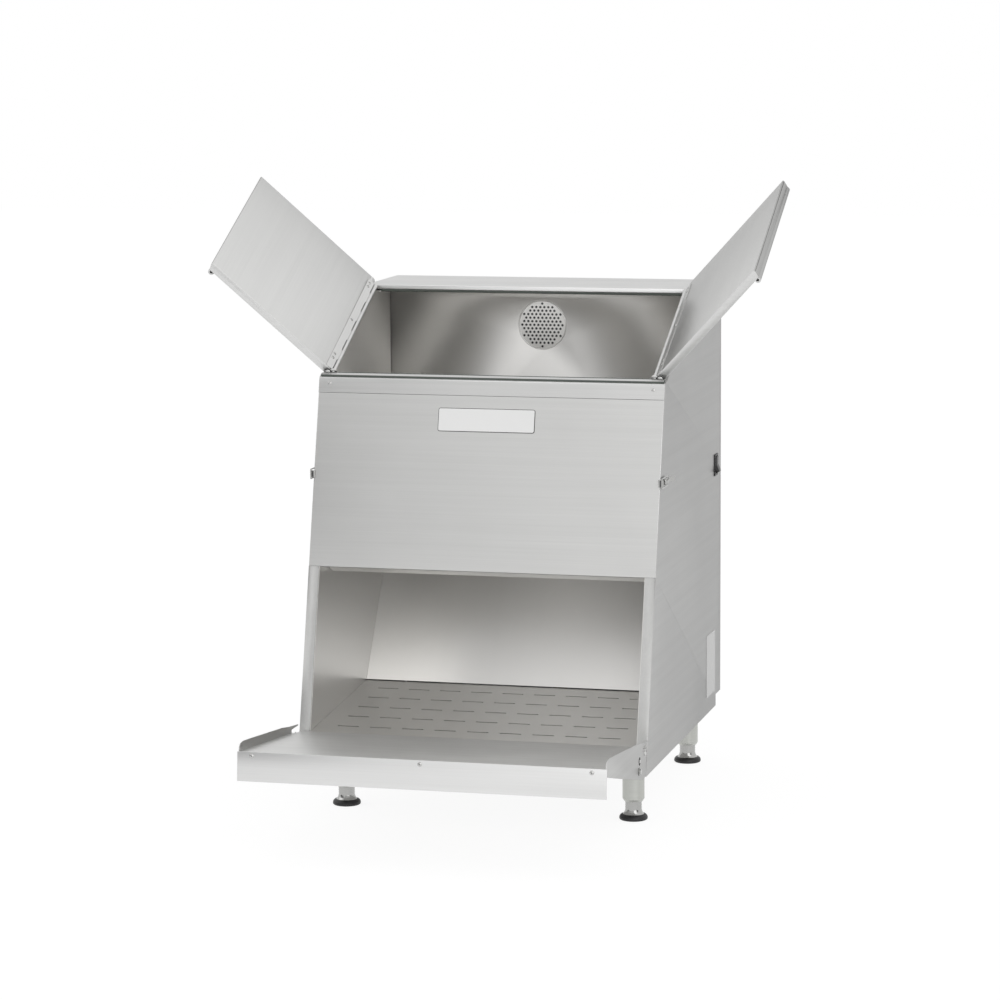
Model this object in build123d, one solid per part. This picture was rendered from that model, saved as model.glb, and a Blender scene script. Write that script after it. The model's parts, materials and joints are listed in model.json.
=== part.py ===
from build123d import *
import os
from math import cos, pi, radians, sin

# Chip warmer: an insulated cabinet of folded stainless sheet on four legs. Chips go in at
# the top, under two butterfly lids, and come out at the bottom, over a door that folds down
# as a tray. A blower behind the chip room draws air through a round intake high in its rear
# wall, drives it over a heater and up through the slotted floor.
# Millimetres. +X is the user's right, +Y points to the back, +Z up. The shapes are drawn with
# Y = 0 at the cabinet's front bottom edge; save() moves them to the part's own origin, which
# is on the floor under the middle of the whole object. The lids are drawn open, the tray down.

os.makedirs("parts", exist_ok=True)

# ---------------------------------------------------------------- driving dimensions
cabinet_width, cabinet_depth = 572.0, 617.5
base_height = 97.0            # underside of the cabinet, on its legs
front_lean = 13.46            # degrees the front leans back from upright
front_length = 620.2          # measured up the leaning front
roof_pitch = 25.8             # degrees of the top opening
roof_length = 296.5
wall = 17.0                   # double side wall, outer skin to liner
skin = 1.2                    # outer sheet
lining = 1.0                  # inner sheet
gap = 0.3                     # between sheets that only lie against each other

opening_low, opening_high = 47.0, 313.0    # lower opening, measured up the front
cap_low = 595.7                            # front cap's lower edge, up the front
panel_depth = 18.0                         # thickness of the insulated front panel
cap_rim, cap_fold = 13.0, 14.0             # rim of the cap in front of the lids, and its fold
wall_top_drop = 5.0                        # side walls stop this far under the opening plane
notch_depth, notch_height = 41.9, 19.6     # step at the cabinet's rear bottom edge
rear_corner = 10.0                         # radius of the rear top corner

rear_wall_y = 500.0           # chip room's rear wall
rear_wall_bend_z = 430.0      # where it turns into the chip slide
slide_foot = (330.0, 167.0)
ceiling_z = 816.5
floor_rear_z = 165.5
vent_z, vent_radius = 757.0, 42.0          # round air intake in the rear wall
hem_height, gasket_height = 7.5, 4.0       # front edge of the top panel, strip under it
rim_strip_front, rim_strip_height = 3.0, 1.2     # soft strip on the cap's rim

lid_hinge_x = 266.5
lid_hinge_lift = 0.3          # hinge axis above the opening plane
lid_open_angle = 131.0        # from closed
lid_reach = 266.0             # hinge axis to free edge
lid_thickness = 13.0
lid_front, lid_rear = 17.0, 305.0          # along the roof slope
hinge_front, hinge_rear = 18.0, 292.0
knuckle_radius, rod_radius, rod_clearance = 3.6, 1.98, 0.07
knuckle_count, knuckle_gap = 9, 0.4
rod_head_radius = 6.6
edge_land, edge_slant = 3.0, 4.5           # free edge: upright part, then the slope's run-back
grip_radius, grip_back, grip_rise = 5.0, 9.5, 1.8    # curl's centre: from the edge, and above

tray_pivot = (-15.0, 138.5)
tray_pitch = 5.6              # degrees the tray rises towards its front edge
tray_reach = 277.5            # pivot to the front flange
tray_tail = 19.5              # sheet behind the pivot
tray_surface = 7.0            # tray sheet above the pivot
tray_half_width = 286.3       # inner faces of the two side wings
strip_half_width, strip_height, strip_hem = 289.0, 45.5, 5.0
pin_radius, pin_clearance = 3.95, 0.08
arm_inner, arm_outer = 282.6, 285.4        # hinge arms, just inside the wings

leg_x, leg_front_y, leg_rear_y = 240.4, 117.7, 556.9
leg_radius, stem_radius, stem_clearance = 17.75, 13.5, 0.08
foot_radius, foot_height, leg_bottom, stem_top = 23.0, 14.5, 31.0, 74.0

latch_z, latch_half_height = 547.0, 8.6
latch_pivot = (289.8, 130.0)               # (x, y)
latch_throw, bail_length, bail_radius = 14.0, 41.0, 1.1
latch_pin_radius = 1.3

switch_y, switch_z = 570.0, 516.5
rocker_pivot_x, rocker_tilt = 283.0, 10.0
gland_x, gland_z, gland_reach, cord_hole_radius = 190.0, 200.0, 26.0, 5.0

blower_y, blower_z, blower_radius, blower_half_width = 500.0, 176.6, 78.0, 36.0
outlet_y, outlet_height = 405.0, 48.0
impeller_radius, blade_count, shaft_radius, shaft_clearance = 54.0, 24, 4.0, 0.07
duct_half_width, duct_front_y, duct_top_z = 112.0, 338.0, 152.0

# ---------------------------------------------------------------- derived places
half_width = cabinet_width / 2
inner_half = half_width - wall                     # inner edges of the side walls' skins
room_half = inner_half - lining - 0.2              # half of the clear width between the liners
lean, pitch = radians(front_lean), radians(roof_pitch)
up_front, into_front = (sin(lean), cos(lean)), (cos(lean), -sin(lean))      # (y, z)
up_roof, off_roof = (cos(pitch), sin(pitch)), (-sin(pitch), cos(pitch))     # (y, z)


def front_point(up, inward=0.0):
    """(y, z) of a point given by its distance up the front and its depth behind it."""
    return (up * up_front[0] + inward * into_front[0],
            base_height + up * up_front[1] + inward * into_front[1])


roof_start = front_point(front_length)


def roof_point(along, above=0.0):
    """(y, z) of a point given by its distance up the roof slope and above the opening."""
    return (roof_start[0] + along * up_roof[0] + above * off_roof[0],
            roof_start[1] + along * up_roof[1] + above * off_roof[1])


def tray_point(out, above=0.0):
    """(y, z) of a point of the open tray: out from the pivot, above along its normal."""
    tilt = radians(tray_pitch)
    return (tray_pivot[0] - out * cos(tilt) + above * sin(tilt),
            tray_pivot[1] + out * sin(tilt) + above * cos(tilt))


def roof_crossing(z, above):
    """Distance up the roof at which a line parallel to it reaches the height z."""
    return (z - roof_point(0.0, above)[1]) / up_roof[1]


roof_end = roof_point(roof_length)
top_z = roof_end[1]
floor_z = base_height + skin                       # upper face of the base pan
rear_low_z = base_height + notch_height
notch_y = cabinet_depth - notch_depth
strip_front = tray_point(tray_reach + skin, tray_surface - strip_height)[0]
frame_shift = -(strip_front + cabinet_depth + gland_reach) / 2


# ---------------------------------------------------------------- helpers
def save(shape, name):
    shape = Pos(0, frame_shift, 0) * shape
    export_step(Compound(children=list(shape.solids())), f"parts/{name}.step")


def group(*shapes):
    return Compound(children=[solid for shape in shapes for solid in shape.solids()])


def mirrored(shape):
    return mirror(shape, about=Plane.YZ)


def both_sides(shape):
    return group(shape, mirrored(shape))


def face(points):
    return make_face(Polyline(*points, close=True))


def slab(outline, x_low, x_high):
    """A closed (y, z) outline, or a list of its points, extruded along X."""
    if isinstance(outline, list):
        outline = face(outline)
    return extrude(Plane.YZ.offset(x_low) * outline, x_high - x_low, dir=(1, 0, 0))


def bent(points, thickness):
    """Outline of a folded sheet: the polyline and its copy on the left-hand side."""
    def unit(a, b):
        length = ((b[0] - a[0]) ** 2 + (b[1] - a[1]) ** 2) ** 0.5
        return ((b[0] - a[0]) / length, (b[1] - a[1]) / length)

    runs = [unit(a, b) for a, b in zip(points, points[1:])]
    other = []
    for index, (y, z) in enumerate(points):
        before = runs[max(index - 1, 0)]
        after = runs[min(index, len(runs) - 1)]
        scale = thickness / (1 + before[0] * after[0] + before[1] * after[1])
        other.append((y - (before[1] + after[1]) * scale, z + (before[0] + after[0]) * scale))
    return list(points) + other[::-1]


def sheet(points, thickness, half):
    """A folded sheet running the full width between -half and +half."""
    return slab(bent(points, thickness), -half, half)


def block(x_low, x_high, y_low, y_high, z_low, z_high):
    middle = ((x_low + x_high) / 2, (y_low + y_high) / 2, (z_low + z_high) / 2)
    return Pos(*middle) * Box(x_high - x_low, y_high - y_low, z_high - z_low)


def rod_x(y, z, radius, x_low, x_high):
    return Pos((x_low + x_high) / 2, y, z) * Rot(0, 90, 0) * Cylinder(radius, x_high - x_low)


def rod_y(x, z, radius, y_low, y_high):
    return Pos(x, (y_low + y_high) / 2, z) * Rot(90, 0, 0) * Cylinder(radius, y_high - y_low)


def rod_z(x, y, radius, z_low, z_high):
    return Pos(x, y, (z_low + z_high) / 2) * Cylinder(radius, z_high - z_low)


def front_plane(up, inward=0.0, x=0.0):
    """Plane on the leaning front: its X is the object's, its Y runs up, its Z points out."""
    y, z = front_point(up, inward)
    return Plane((x, y, z), x_dir=(1, 0, 0), z_dir=(0, -into_front[0], -into_front[1]))


# ---------------------------------------------------------------- side walls
def side_face():
    """Outline of a side wall: it steps back under the front panel, the cap and the top."""
    step = skin + gap
    last = roof_crossing(top_z - step, -wall_top_drop)
    outline = face([
        front_point(0.0), front_point(opening_high - gap), front_point(opening_high - gap, step),
        roof_point(step * 0.83, -step), roof_point(cap_rim + 0.5, -step),
        roof_point(cap_rim + 0.5, -wall_top_drop), roof_point(last, -wall_top_drop),
        (cabinet_depth - step, top_z - step), (cabinet_depth - step, rear_low_z),
        (notch_y, rear_low_z), (notch_y, base_height)])
    corner = outline.vertices().sort_by_distance((cabinet_depth, top_z, 0))[0]
    return fillet([corner], rear_corner - step)


def side_panel():
    """Outer skin with all its edges folded in to the liner."""
    outline = side_face()
    rim = outline - offset(outline, -skin, kind=Kind.INTERSECTION)
    return slab(outline, half_width - skin, half_width) + slab(rim, inner_half, half_width)


def side_liner():
    """Inner sheet of a side wall, from the front post to the chip room's rear wall."""
    return slab([front_point(1.8, 1.8), front_point(cap_low - 4.0, 1.8), roof_point(8.0, -8.0),
                 roof_point(roof_length - 2.0, -8.0), (rear_wall_y - gap, ceiling_z + 3.0),
                 (rear_wall_y - gap, floor_z + gap)], inner_half - lining, inner_half)


def side_insulation():
    inset = 4.0
    return slab([front_point(inset, inset), front_point(cap_low - 4.0, inset),
                 roof_point(cap_rim + 6.0, -wall_top_drop - inset - 2.0),
                 roof_point(roof_length, -wall_top_drop - inset),
                 (rear_wall_y - inset, ceiling_z), (rear_wall_y - inset, floor_z + inset)],
                inner_half + 1.0, half_width - skin - 1.0)


switch_hole = block(half_width - 4.0, half_width + 4.0, switch_y - 10.5, switch_y + 10.5,
                    switch_z - 16.0, switch_z + 16.0)
save(mirrored(side_panel()), "left_side_panel")
save(side_panel() - switch_hole, "right_side_panel")
save(mirrored(side_liner()), "left_side_liner")
save(side_liner(), "right_side_liner")


# ---------------------------------------------------------------- front, top, back and base
def front_cap():
    """Folded cap over the front panel's top edge, with the rim the lids shut down behind."""
    outer = sheet([roof_point(cap_rim), front_point(front_length), front_point(cap_low)],
                  skin, half_width)
    fold = slab([roof_point(cap_rim), roof_point(cap_rim, -cap_fold),
                 roof_point(cap_rim - skin, -cap_fold), roof_point(cap_rim - skin, -0.5),
                 roof_point(cap_rim - skin)], -room_half, room_half)
    ledge = slab([front_point(cap_low), front_point(cap_low + skin),
                  front_point(cap_low + skin, panel_depth), front_point(cap_low, panel_depth)],
                 -room_half, room_half)
    return outer + fold + ledge


def front_panel():
    """Removable panel: a full-width face, and a pan behind it that fits between the walls."""
    low, high = opening_high, cap_low - gap
    plate = slab([front_point(low), front_point(high), front_point(high, skin),
                  front_point(low, skin)], -half_width, half_width)
    depth = panel_depth - lining
    pan = slab([front_point(low, skin), front_point(high, skin), front_point(high, depth),
                front_point(low, depth)], -room_half, room_half)
    room = slab([front_point(low + skin, skin), front_point(high - skin, skin),
                 front_point(high - skin, depth + 1), front_point(low + skin, depth + 1)],
                -room_half + skin, room_half - skin)
    return plate + (pan - room)


def front_panel_sheet(depth, thickness, inset):
    low, high = opening_high + inset, cap_low - gap - inset
    return slab([front_point(low, depth), front_point(high, depth),
                 front_point(high, depth + thickness), front_point(low, depth + thickness)],
                -room_half + inset, room_half - inset)


def chip_baffle():
    """Deflector behind the front panel that holds the chips back from the lower opening."""
    start = panel_depth
    return sheet([front_point(opening_high + 34.0, start), front_point(opening_high + 6.0, start),
                  front_point(opening_high - 2.0, start + 52.0)], lining, room_half - 2.0)


def top_panel():
    """Flat top. Its front edge is folded down between the walls, its rear edge over the back."""
    drop = 22.0
    profile = face(bent([(cabinet_depth, top_z - drop), (cabinet_depth, top_z),
                         (roof_end[0], top_z), (roof_end[0], top_z - hem_height),
                         (roof_end[0] + 16.0, top_z - hem_height)], skin))
    corners = profile.vertices().sort_by_distance((cabinet_depth, top_z, 0))
    profile = fillet([corners[0]], rear_corner)
    inside = profile.vertices().sort_by_distance((cabinet_depth - skin, top_z - skin, 0))
    profile = fillet([inside[0]], rear_corner - skin)
    shape = slab(profile, -room_half, room_half)
    wing_start = roof_point(roof_crossing(top_z, -wall_top_drop))[0] + 2.0
    wing_profile = face(bent([(cabinet_depth, top_z - drop), (cabinet_depth, top_z),
                              (wing_start, top_z)], skin))
    corners = wing_profile.vertices().sort_by_distance((cabinet_depth, top_z, 0))
    wing_profile = fillet([corners[0]], rear_corner)
    inside = wing_profile.vertices().sort_by_distance((cabinet_depth - skin, top_z - skin, 0))
    wing_profile = fillet([inside[0]], rear_corner - skin)
    side = slab(wing_profile, room_half - 1.0, half_width)
    return shape + side + mirrored(side)


def back_panel():
    """Rear cover with two groups of air slots and the hole for the cable gland."""
    high = top_z - 22.0 - gap
    panel = block(-half_width, half_width, cabinet_depth - skin, cabinet_depth, rear_low_z, high)
    panel += block(-room_half, room_half, cabinet_depth - 14.0, cabinet_depth - skin,
                   rear_low_z, rear_low_z + skin)
    for row in range(8):
        for x in (-150.0, 0.0, 150.0):
            z = 640.0 + 14.0 * row
            panel -= block(x - 50.0, x + 50.0, cabinet_depth - 5, cabinet_depth + 5, z, z + 5.0)
    for row in range(5):
        z = 150.0 + 14.0 * row
        panel -= block(-220.0, -100.0, cabinet_depth - 5, cabinet_depth + 5, z, z + 5.0)
    return panel - rod_y(gland_x, gland_z, 9.3, cabinet_depth - 5, cabinet_depth + 5)


def base_pan():
    """Bottom sheet, with the sill under the lower opening and the step at the rear."""
    return sheet([(cabinet_depth - 14.0 - gap, rear_low_z), (notch_y, rear_low_z),
                  (notch_y, base_height), front_point(0.0), front_point(opening_low - 1.8)],
                 -skin, room_half)


def lid_gaskets():
    """Soft strips: on the cap's rim, behind it under the closed lids, and under the top's hem."""
    half = lid_hinge_x - rod_head_radius - 1.0
    edge = slab([roof_point(rim_strip_front), roof_point(cap_rim - 0.6),
                 roof_point(cap_rim - 0.6, rim_strip_height),
                 roof_point(rim_strip_front, rim_strip_height)],
                -(half_width - 2.0), half_width - 2.0)
    front = slab([roof_point(cap_rim, -0.2), roof_point(cap_rim + 5.0, -0.2),
                  roof_point(cap_rim + 5.0, -7.0), roof_point(cap_rim, -7.0)],
                 -half, half)
    low = top_z - hem_height - gasket_height
    rear = block(-half, half, roof_end[0] + 0.4, roof_end[0] + 14.0,
                 low, top_z - hem_height)
    return group(edge, front, rear)


def nameplate():
    plate = front_plane(556.0, 0.0, -2.5) * Rectangle(160.0, 38.0)
    return extrude(plate, 1.0, dir=(0, -into_front[0], -into_front[1]))


save(front_cap(), "front_cap")
save(front_panel(), "front_panel")
save(front_panel_sheet(panel_depth - lining, lining, 0.0), "front_panel_liner")
save(chip_baffle(), "chip_baffle")
save(top_panel(), "top_panel")
save(back_panel(), "back_panel")
save(base_pan(), "base_pan")
save(lid_gaskets(), "lid_gaskets")
save(nameplate(), "nameplate")
save(block(half_width, half_width + 0.6, 493.0, 565.0, 125.0, 232.0), "data_plate")


# ---------------------------------------------------------------- chip room
def room_back():
    """Ceiling, rear wall and chip slide, folded from one sheet."""
    shape = sheet([(roof_end[0] + 15.0, ceiling_z), (rear_wall_y, ceiling_z),
                   (rear_wall_y, rear_wall_bend_z), slide_foot], lining, room_half)
    return shape - rod_y(0.0, vent_z, vent_radius, rear_wall_y - 5, rear_wall_y + 5)


def intake_grille():
    """Disc of air holes set flush in the rear wall, with a rim behind the sheet."""
    shape = rod_y(0.0, vent_z, vent_radius - 0.1, rear_wall_y, rear_wall_y + lining)
    shape += rod_y(0.0, vent_z, vent_radius + 5.0, rear_wall_y + lining,
                   rear_wall_y + lining + 1.0)
    hole = rod_y(0.0, 0.0, 2.4, rear_wall_y - 2, rear_wall_y + 6)
    shape -= Pos(0, 0, vent_z) * hole
    for ring, count in enumerate((6, 12, 18, 24), start=1):
        for index in range(count):
            turn = 2 * pi * index / count
            shape -= Pos(9.0 * ring * cos(turn), 0, vent_z + 9.0 * ring * sin(turn)) * hole
    return shape


def room_floor():
    """Floor that slopes to the lower opening, with slots for the warm air."""
    front = front_point(opening_low - 0.5)
    shape = sheet([slide_foot[:1] + (floor_rear_z,), front], skin, room_half)
    for column in range(9):
        for row in range(5):
            x, y = -216.0 + 54.0 * column, 50.0 + 58.0 * row
            shape -= block(x - 18.0, x + 18.0, y - 2.0, y + 2.0, 100.0, 200.0)
    return shape


def rear_insulation():
    return block(-room_half + 8.0, room_half - 8.0, rear_wall_y + lining + 0.2,
                 rear_wall_y + 16.0, rear_wall_bend_z + 8.0, vent_z - vent_radius - 12.0)


save(room_back(), "room_back")
save(intake_grille(), "intake_grille")
save(room_floor(), "room_floor")
save(group(both_sides(side_insulation()), rear_insulation(),
           front_panel_sheet(skin + 0.2, panel_depth - lining - skin - 0.4, 2.0)),
     "cabinet_insulation")


# ---------------------------------------------------------------- lids
def hinge_plane(angle, along):
    """Plane across the right lid's hinge: X runs from the axis over the lid, Y out of it."""
    turn = radians(angle)
    y, z = roof_point(along, lid_hinge_lift)
    return Plane((lid_hinge_x, y, z),
                 x_dir=(-cos(turn), sin(turn) * off_roof[0], sin(turn) * off_roof[1]),
                 z_dir=(0, up_roof[0], up_roof[1]))


def hinge_bar(outline, low, high, angle=lid_open_angle):
    """An outline drawn across the hinge, extruded up the roof slope."""
    return extrude(hinge_plane(angle, low) * outline, high - low,
                   dir=(0, up_roof[0], up_roof[1]))


def area(x_low, x_high, y_low, y_high):
    return (Pos((x_low + x_high) / 2, (y_low + y_high) / 2)
            * Rectangle(x_high - x_low, y_high - y_low))


def lid_section(inset=0.0):
    """Cross-section of a lid: a half-round edge beside the hinge, a sloped free edge."""
    round_edge = lid_thickness / 2
    middle = round_edge + 3.0
    top = lid_thickness - inset
    body = face([(middle, inset), (lid_reach - inset, inset), (lid_reach - inset, edge_land),
                 (lid_reach - edge_slant - 0.65 * inset, top), (middle, top)])
    return body + Pos(middle, round_edge) * Circle(round_edge - inset)


def lid_grip():
    """Curled lip on the outer face, along the free edge, open towards the hinge."""
    u, w = lid_reach - grip_back, lid_thickness + grip_rise
    curl = Pos(u, w) * (Circle(grip_radius) - Circle(grip_radius - lining))
    return curl - area(u - 6.0, u + 6.0, w - 6.0, lid_thickness - 0.6) - area(
        u - 6.0, u - 1.0, w - 6.0, w - 0.5)


def lid_outer_skin():
    """Outer sheet: it wraps the half-round edge and closes both ends."""
    wrap = lid_section() - lid_section(lining)
    wrap -= area(14.0, lid_reach + 1.0, -1.0, lining)
    wrap -= area(lid_reach - 1.5, lid_reach + 1.0, -1.0, edge_land)
    shape = hinge_bar(wrap, lid_front, lid_rear)
    for low in (lid_front, lid_rear - lining):
        shape += hinge_bar(lid_section(), low, low + lining)
    return shape + hinge_bar(lid_grip(), lid_front, lid_rear)


def lid_inner_skin():
    outline = area(14.2, lid_reach, 0.0, lining) + area(lid_reach - lining, lid_reach, 0.0,
                                                        edge_land - 0.5)
    return hinge_bar(outline, lid_front + lining + 0.1, lid_rear - lining - 0.1)


def lid_insulation():
    return hinge_bar(area(16.0, lid_reach - 6.5, lining + 0.1, lid_thickness - lining - 0.2),
                     lid_front + 2.0, lid_rear - 2.0)


def knuckles(first):
    """Ends, up the roof, of every second knuckle."""
    pitch_length = (hinge_rear - hinge_front) / knuckle_count
    return [(hinge_front + pitch_length * i + knuckle_gap / 2,
             hinge_front + pitch_length * (i + 1) - knuckle_gap / 2)
            for i in range(first, knuckle_count, 2)]


def hinge_leaf(fixed):
    """Piano-hinge leaf: the fixed one lies on the wall, the other under the lid's edge."""
    angle = 180.0 if fixed else lid_open_angle
    low, high = (4.1, wall_top_drop + lid_hinge_lift) if fixed else (-1.2, 0.0)
    shape = hinge_bar(area(4.6, 17.0, low, high), hinge_front, hinge_rear, angle)
    neck = area(0.0, 5.0, 2.0, high) if fixed else area(0.0, 5.0, low, high)
    bore = Circle(rod_radius + rod_clearance)
    for start, stop in knuckles(0 if fixed else 1):
        shape += hinge_bar(Circle(knuckle_radius) + neck - bore, start, stop, angle)
    return shape


def hinge_rod():
    """Pin of the piano hinge, with a flattened round head at its front end."""
    shape = hinge_bar(Circle(rod_radius), lid_front - 1.0, hinge_rear + 0.3, 180.0)
    head = Circle(rod_head_radius) - area(-8.0, 8.0, wall_top_drop - 0.1, 9.0)
    return shape + hinge_bar(head, lid_front - 1.7, lid_front - 0.4, 180.0)


for name, shape in (("lid_outer_skin", lid_outer_skin()), ("lid_inner_skin", lid_inner_skin()),
                    ("lid_insulation", lid_insulation()), ("lid_leaf", hinge_leaf(False))):
    save(shape, f"right_{name}")
    save(mirrored(shape), f"left_{name}")
save(both_sides(hinge_leaf(True)), "lid_hinge_leaves")
save(both_sides(hinge_rod()), "lid_hinge_rods")


# ---------------------------------------------------------------- tray door
def tray_sheet():
    """Tray with a folded front edge, notched at the hinge arms."""
    def run(tail, half):
        return sheet([tray_point(-tail, tray_surface), tray_point(tray_reach, tray_surface),
                      tray_point(tray_reach, tray_surface - 19.0)], skin, half)

    return run(tray_tail, arm_inner - 1.6) + run(-12.0, tray_half_width)


def tray_wing():
    """Side plate: a low lip above the tray, a deep gusset below, and a hook for the pin."""
    outline = face([
        (6.0, 154.0), (-40.0, 159.2), (-77.0, 165.0), (-187.0, 176.4), (-233.0, 181.2),
        (-270.0, 184.6), (-283.0, 183.6), (-289.0, 179.6), (-289.9, 174.0), (-290.4, 160.0),
        (-172.0, 131.6), (-98.0, 114.7), (-23.0, 97.8), (-5.4, 104.0), (-5.4, 144.0),
        (-5.4, 152.0), (6.0, 152.0)])
    y, z = tray_pivot
    seat = pin_radius + pin_clearance
    outline -= Pos(y, z) * Circle(seat)
    outline -= area(y - seat, y + seat, z, 146.0) + area(-29.0, 8.0, 144.0, 152.0)
    plate = slab(outline, tray_half_width, tray_half_width + skin)
    return plate + block(272.0, tray_half_width + skin, -5.4 - skin, -5.4, 104.0, 126.0)


def tray_strip():
    """Front plate, hanging below the tray's front edge, with a hem along the bottom."""
    low, hem = tray_surface - strip_height, tray_surface - strip_height + strip_hem
    return slab([tray_point(tray_reach, tray_surface), tray_point(tray_reach + skin, tray_surface),
                 tray_point(tray_reach + skin, low), tray_point(tray_reach - skin, low),
                 tray_point(tray_reach - skin, hem), tray_point(tray_reach, hem)],
                -strip_half_width, strip_half_width)


def tray_fasteners():
    """Three screws in the strip, and a bolt and a rivet in each wing."""
    tilt = radians(tray_pitch)
    parts = []
    for x in (-266.0, 0.0, 266.0):
        y, z = tray_point(tray_reach + skin, tray_surface - 6.0)
        plane = Plane((x, y, z), x_dir=(1, 0, 0), z_dir=(0, -cos(tilt), sin(tilt)))
        parts.append(extrude(plane * Circle(3.4), 1.7, dir=(0, -cos(tilt), sin(tilt))))
    face_x = tray_half_width + skin
    side = group(rod_x(-58.4, 118.3, 5.5, face_x, face_x + 3.4),
                 rod_x(-54.6, 133.8, 3.4, face_x, face_x + 1.6))
    return group(*parts, both_sides(side))


def tray_bracket():
    """Hinge arm on the post, with the pin that carries the tray."""
    y, z = tray_pivot
    low, high = front_point(32.6), front_point(44.6)
    arm = slab([low, high, (y, z + 6.2), (y, z - 6.2)], arm_inner, arm_outer)
    arm += rod_x(y, z, 6.2, arm_inner, arm_outer)
    foot = slab([front_point(32.6, -2.0), front_point(44.6, -2.0), high, low],
                inner_half + 1.0, arm_outer)
    return arm + foot + rod_x(y, z, pin_radius, arm_inner, tray_half_width + skin + 1.2)


def tray_bumper():
    """Rubber stop between the post and the tab on the wing's rear edge."""
    low, high = front_point(11.0), front_point(22.6)
    return slab([low, high, (-5.4 + gap, high[1]), (-5.4 + gap, low[1])], 273.5, 282.5)


save(tray_sheet(), "tray_sheet")
save(tray_wing(), "right_tray_wing")
save(mirrored(tray_wing()), "left_tray_wing")
save(tray_strip(), "tray_strip")
save(tray_fasteners(), "tray_fasteners")
save(both_sides(tray_bracket()), "tray_brackets")
save(both_sides(tray_bumper()), "tray_bumpers")


# ---------------------------------------------------------------- legs and feet
def leg(x, y):
    tube = face([(0, leg_bottom), (leg_radius - 2.4, leg_bottom), (leg_radius, leg_bottom + 4.0),
                 (leg_radius, base_height), (0, base_height)])
    shape = Pos(x, y, 0) * revolve(Plane.XZ * tube, Axis.Z)
    shape += rod_z(x, y, leg_radius + 8.0, base_height - 2.5, base_height)
    return shape - rod_z(x, y, stem_radius + stem_clearance, leg_bottom - 1, base_height - 4.0)


def foot(x, y):
    """Adjustable foot: a stem that screws up into the leg, on a rounded pad."""
    pad = revolve(Plane.XZ * face([(0, 0), (foot_radius - 1.5, 0), (foot_radius, 1.5),
                                   (foot_radius, 4.0), (foot_radius - 2.2, 8.6),
                                   (stem_radius + 2.0, foot_height), (0, foot_height)]), Axis.Z)
    return Pos(x, y, 0) * pad + rod_z(x, y, stem_radius, foot_height - 1, stem_top)


places = {"front_left": (-leg_x, leg_front_y), "front_right": (leg_x, leg_front_y),
          "rear_left": (-leg_x, leg_rear_y), "rear_right": (leg_x, leg_rear_y)}
save(group(*[leg(*place) for place in places.values()]), "legs")
for corner, place in places.items():
    save(foot(*place), f"{corner}_foot")


# ---------------------------------------------------------------- draw latches
latch_x, latch_y = latch_pivot
bail_y = latch_y + latch_throw                     # where the bail is hung on the lever
bail_end_y = bail_y - bail_length
ear_z = latch_half_height - 4.2                    # ears stand between lever and bail
arm_z = latch_half_height - bail_radius
bore_clearance = 0.07


def latch_base():
    """Plate on the side wall, with two ears and the pin the lever turns on."""
    z = latch_z
    shape = block(half_width, half_width + 1.2, latch_y - 8.0, latch_y + 36.0,
                  z - ear_z - 1.4, z + ear_z + 1.4)
    for side in (-1, 1):
        ear = z + side * (ear_z + 0.7)
        shape += block(half_width, latch_x + 2.2, latch_y - 4.0, latch_y + 4.0,
                       ear - 0.7, ear + 0.7)
    return shape + rod_z(latch_x, latch_y, latch_pin_radius, z - ear_z - 1.0, z + ear_z + 1.0)


def latch_lever():
    """Folding handle: it holds the bail behind its own pivot when shut."""
    z, half = latch_z, ear_z - 0.4
    tail = Polyline((latch_x - 0.9, latch_y), (latch_x - 0.9, latch_y + 34.0),
                    (latch_x + 5.6, latch_y + 39.5), (latch_x + 7.2, latch_y + 38.4),
                    (latch_x + 0.9, latch_y + 32.8), (latch_x + 0.9, latch_y), close=True)
    shape = extrude(Plane.XY.offset(z - half) * make_face(tail), 2 * half, dir=(0, 0, 1))
    shape += rod_z(latch_x, latch_y, 2.4, z - half, z + half)
    shape += rod_z(latch_x, bail_y, 2.0, z - half, z + half)
    shape -= rod_z(latch_x, latch_y, latch_pin_radius + bore_clearance, z - 20, z + 20)
    return shape - rod_z(latch_x, bail_y, bail_radius + bore_clearance, z - 20, z + 20)


def latch_bail():
    """Wire loop from the lever to the keeper."""
    z = latch_z
    shape = rod_z(latch_x, bail_end_y, bail_radius, z - arm_z, z + arm_z)
    shape += rod_z(latch_x, bail_y, bail_radius, z - arm_z, z + arm_z)
    for side in (-1, 1):
        shape += rod_y(latch_x, z + side * arm_z, bail_radius, bail_end_y, bail_y)
        for y in (bail_end_y, bail_y):
            shape += Pos(latch_x, y, z + side * arm_z) * Sphere(bail_radius)
    return shape


def latch_keeper():
    """Small hook plate on the front panel's edge."""
    up = (latch_z - base_height) / cos(lean)
    y = front_point(up)[0]
    hook = block(half_width - 2.6, latch_x + 1.9, bail_end_y + bail_radius + 0.3,
                 y + 0.2, latch_z - 5.6, latch_z + 5.6)
    behind = slab([front_point(up - 40), front_point(up + 40), front_point(up + 40, 40.0),
                   front_point(up - 40, 40.0)], 200.0, 400.0)
    return hook - behind


save(both_sides(latch_base()), "latch_bases")
save(both_sides(latch_keeper()), "latch_keepers")
for side, place in (("right", lambda shape: shape), ("left", mirrored)):
    save(place(latch_lever()), f"{side}_latch_lever")
    save(place(latch_bail()), f"{side}_latch_bail")


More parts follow.
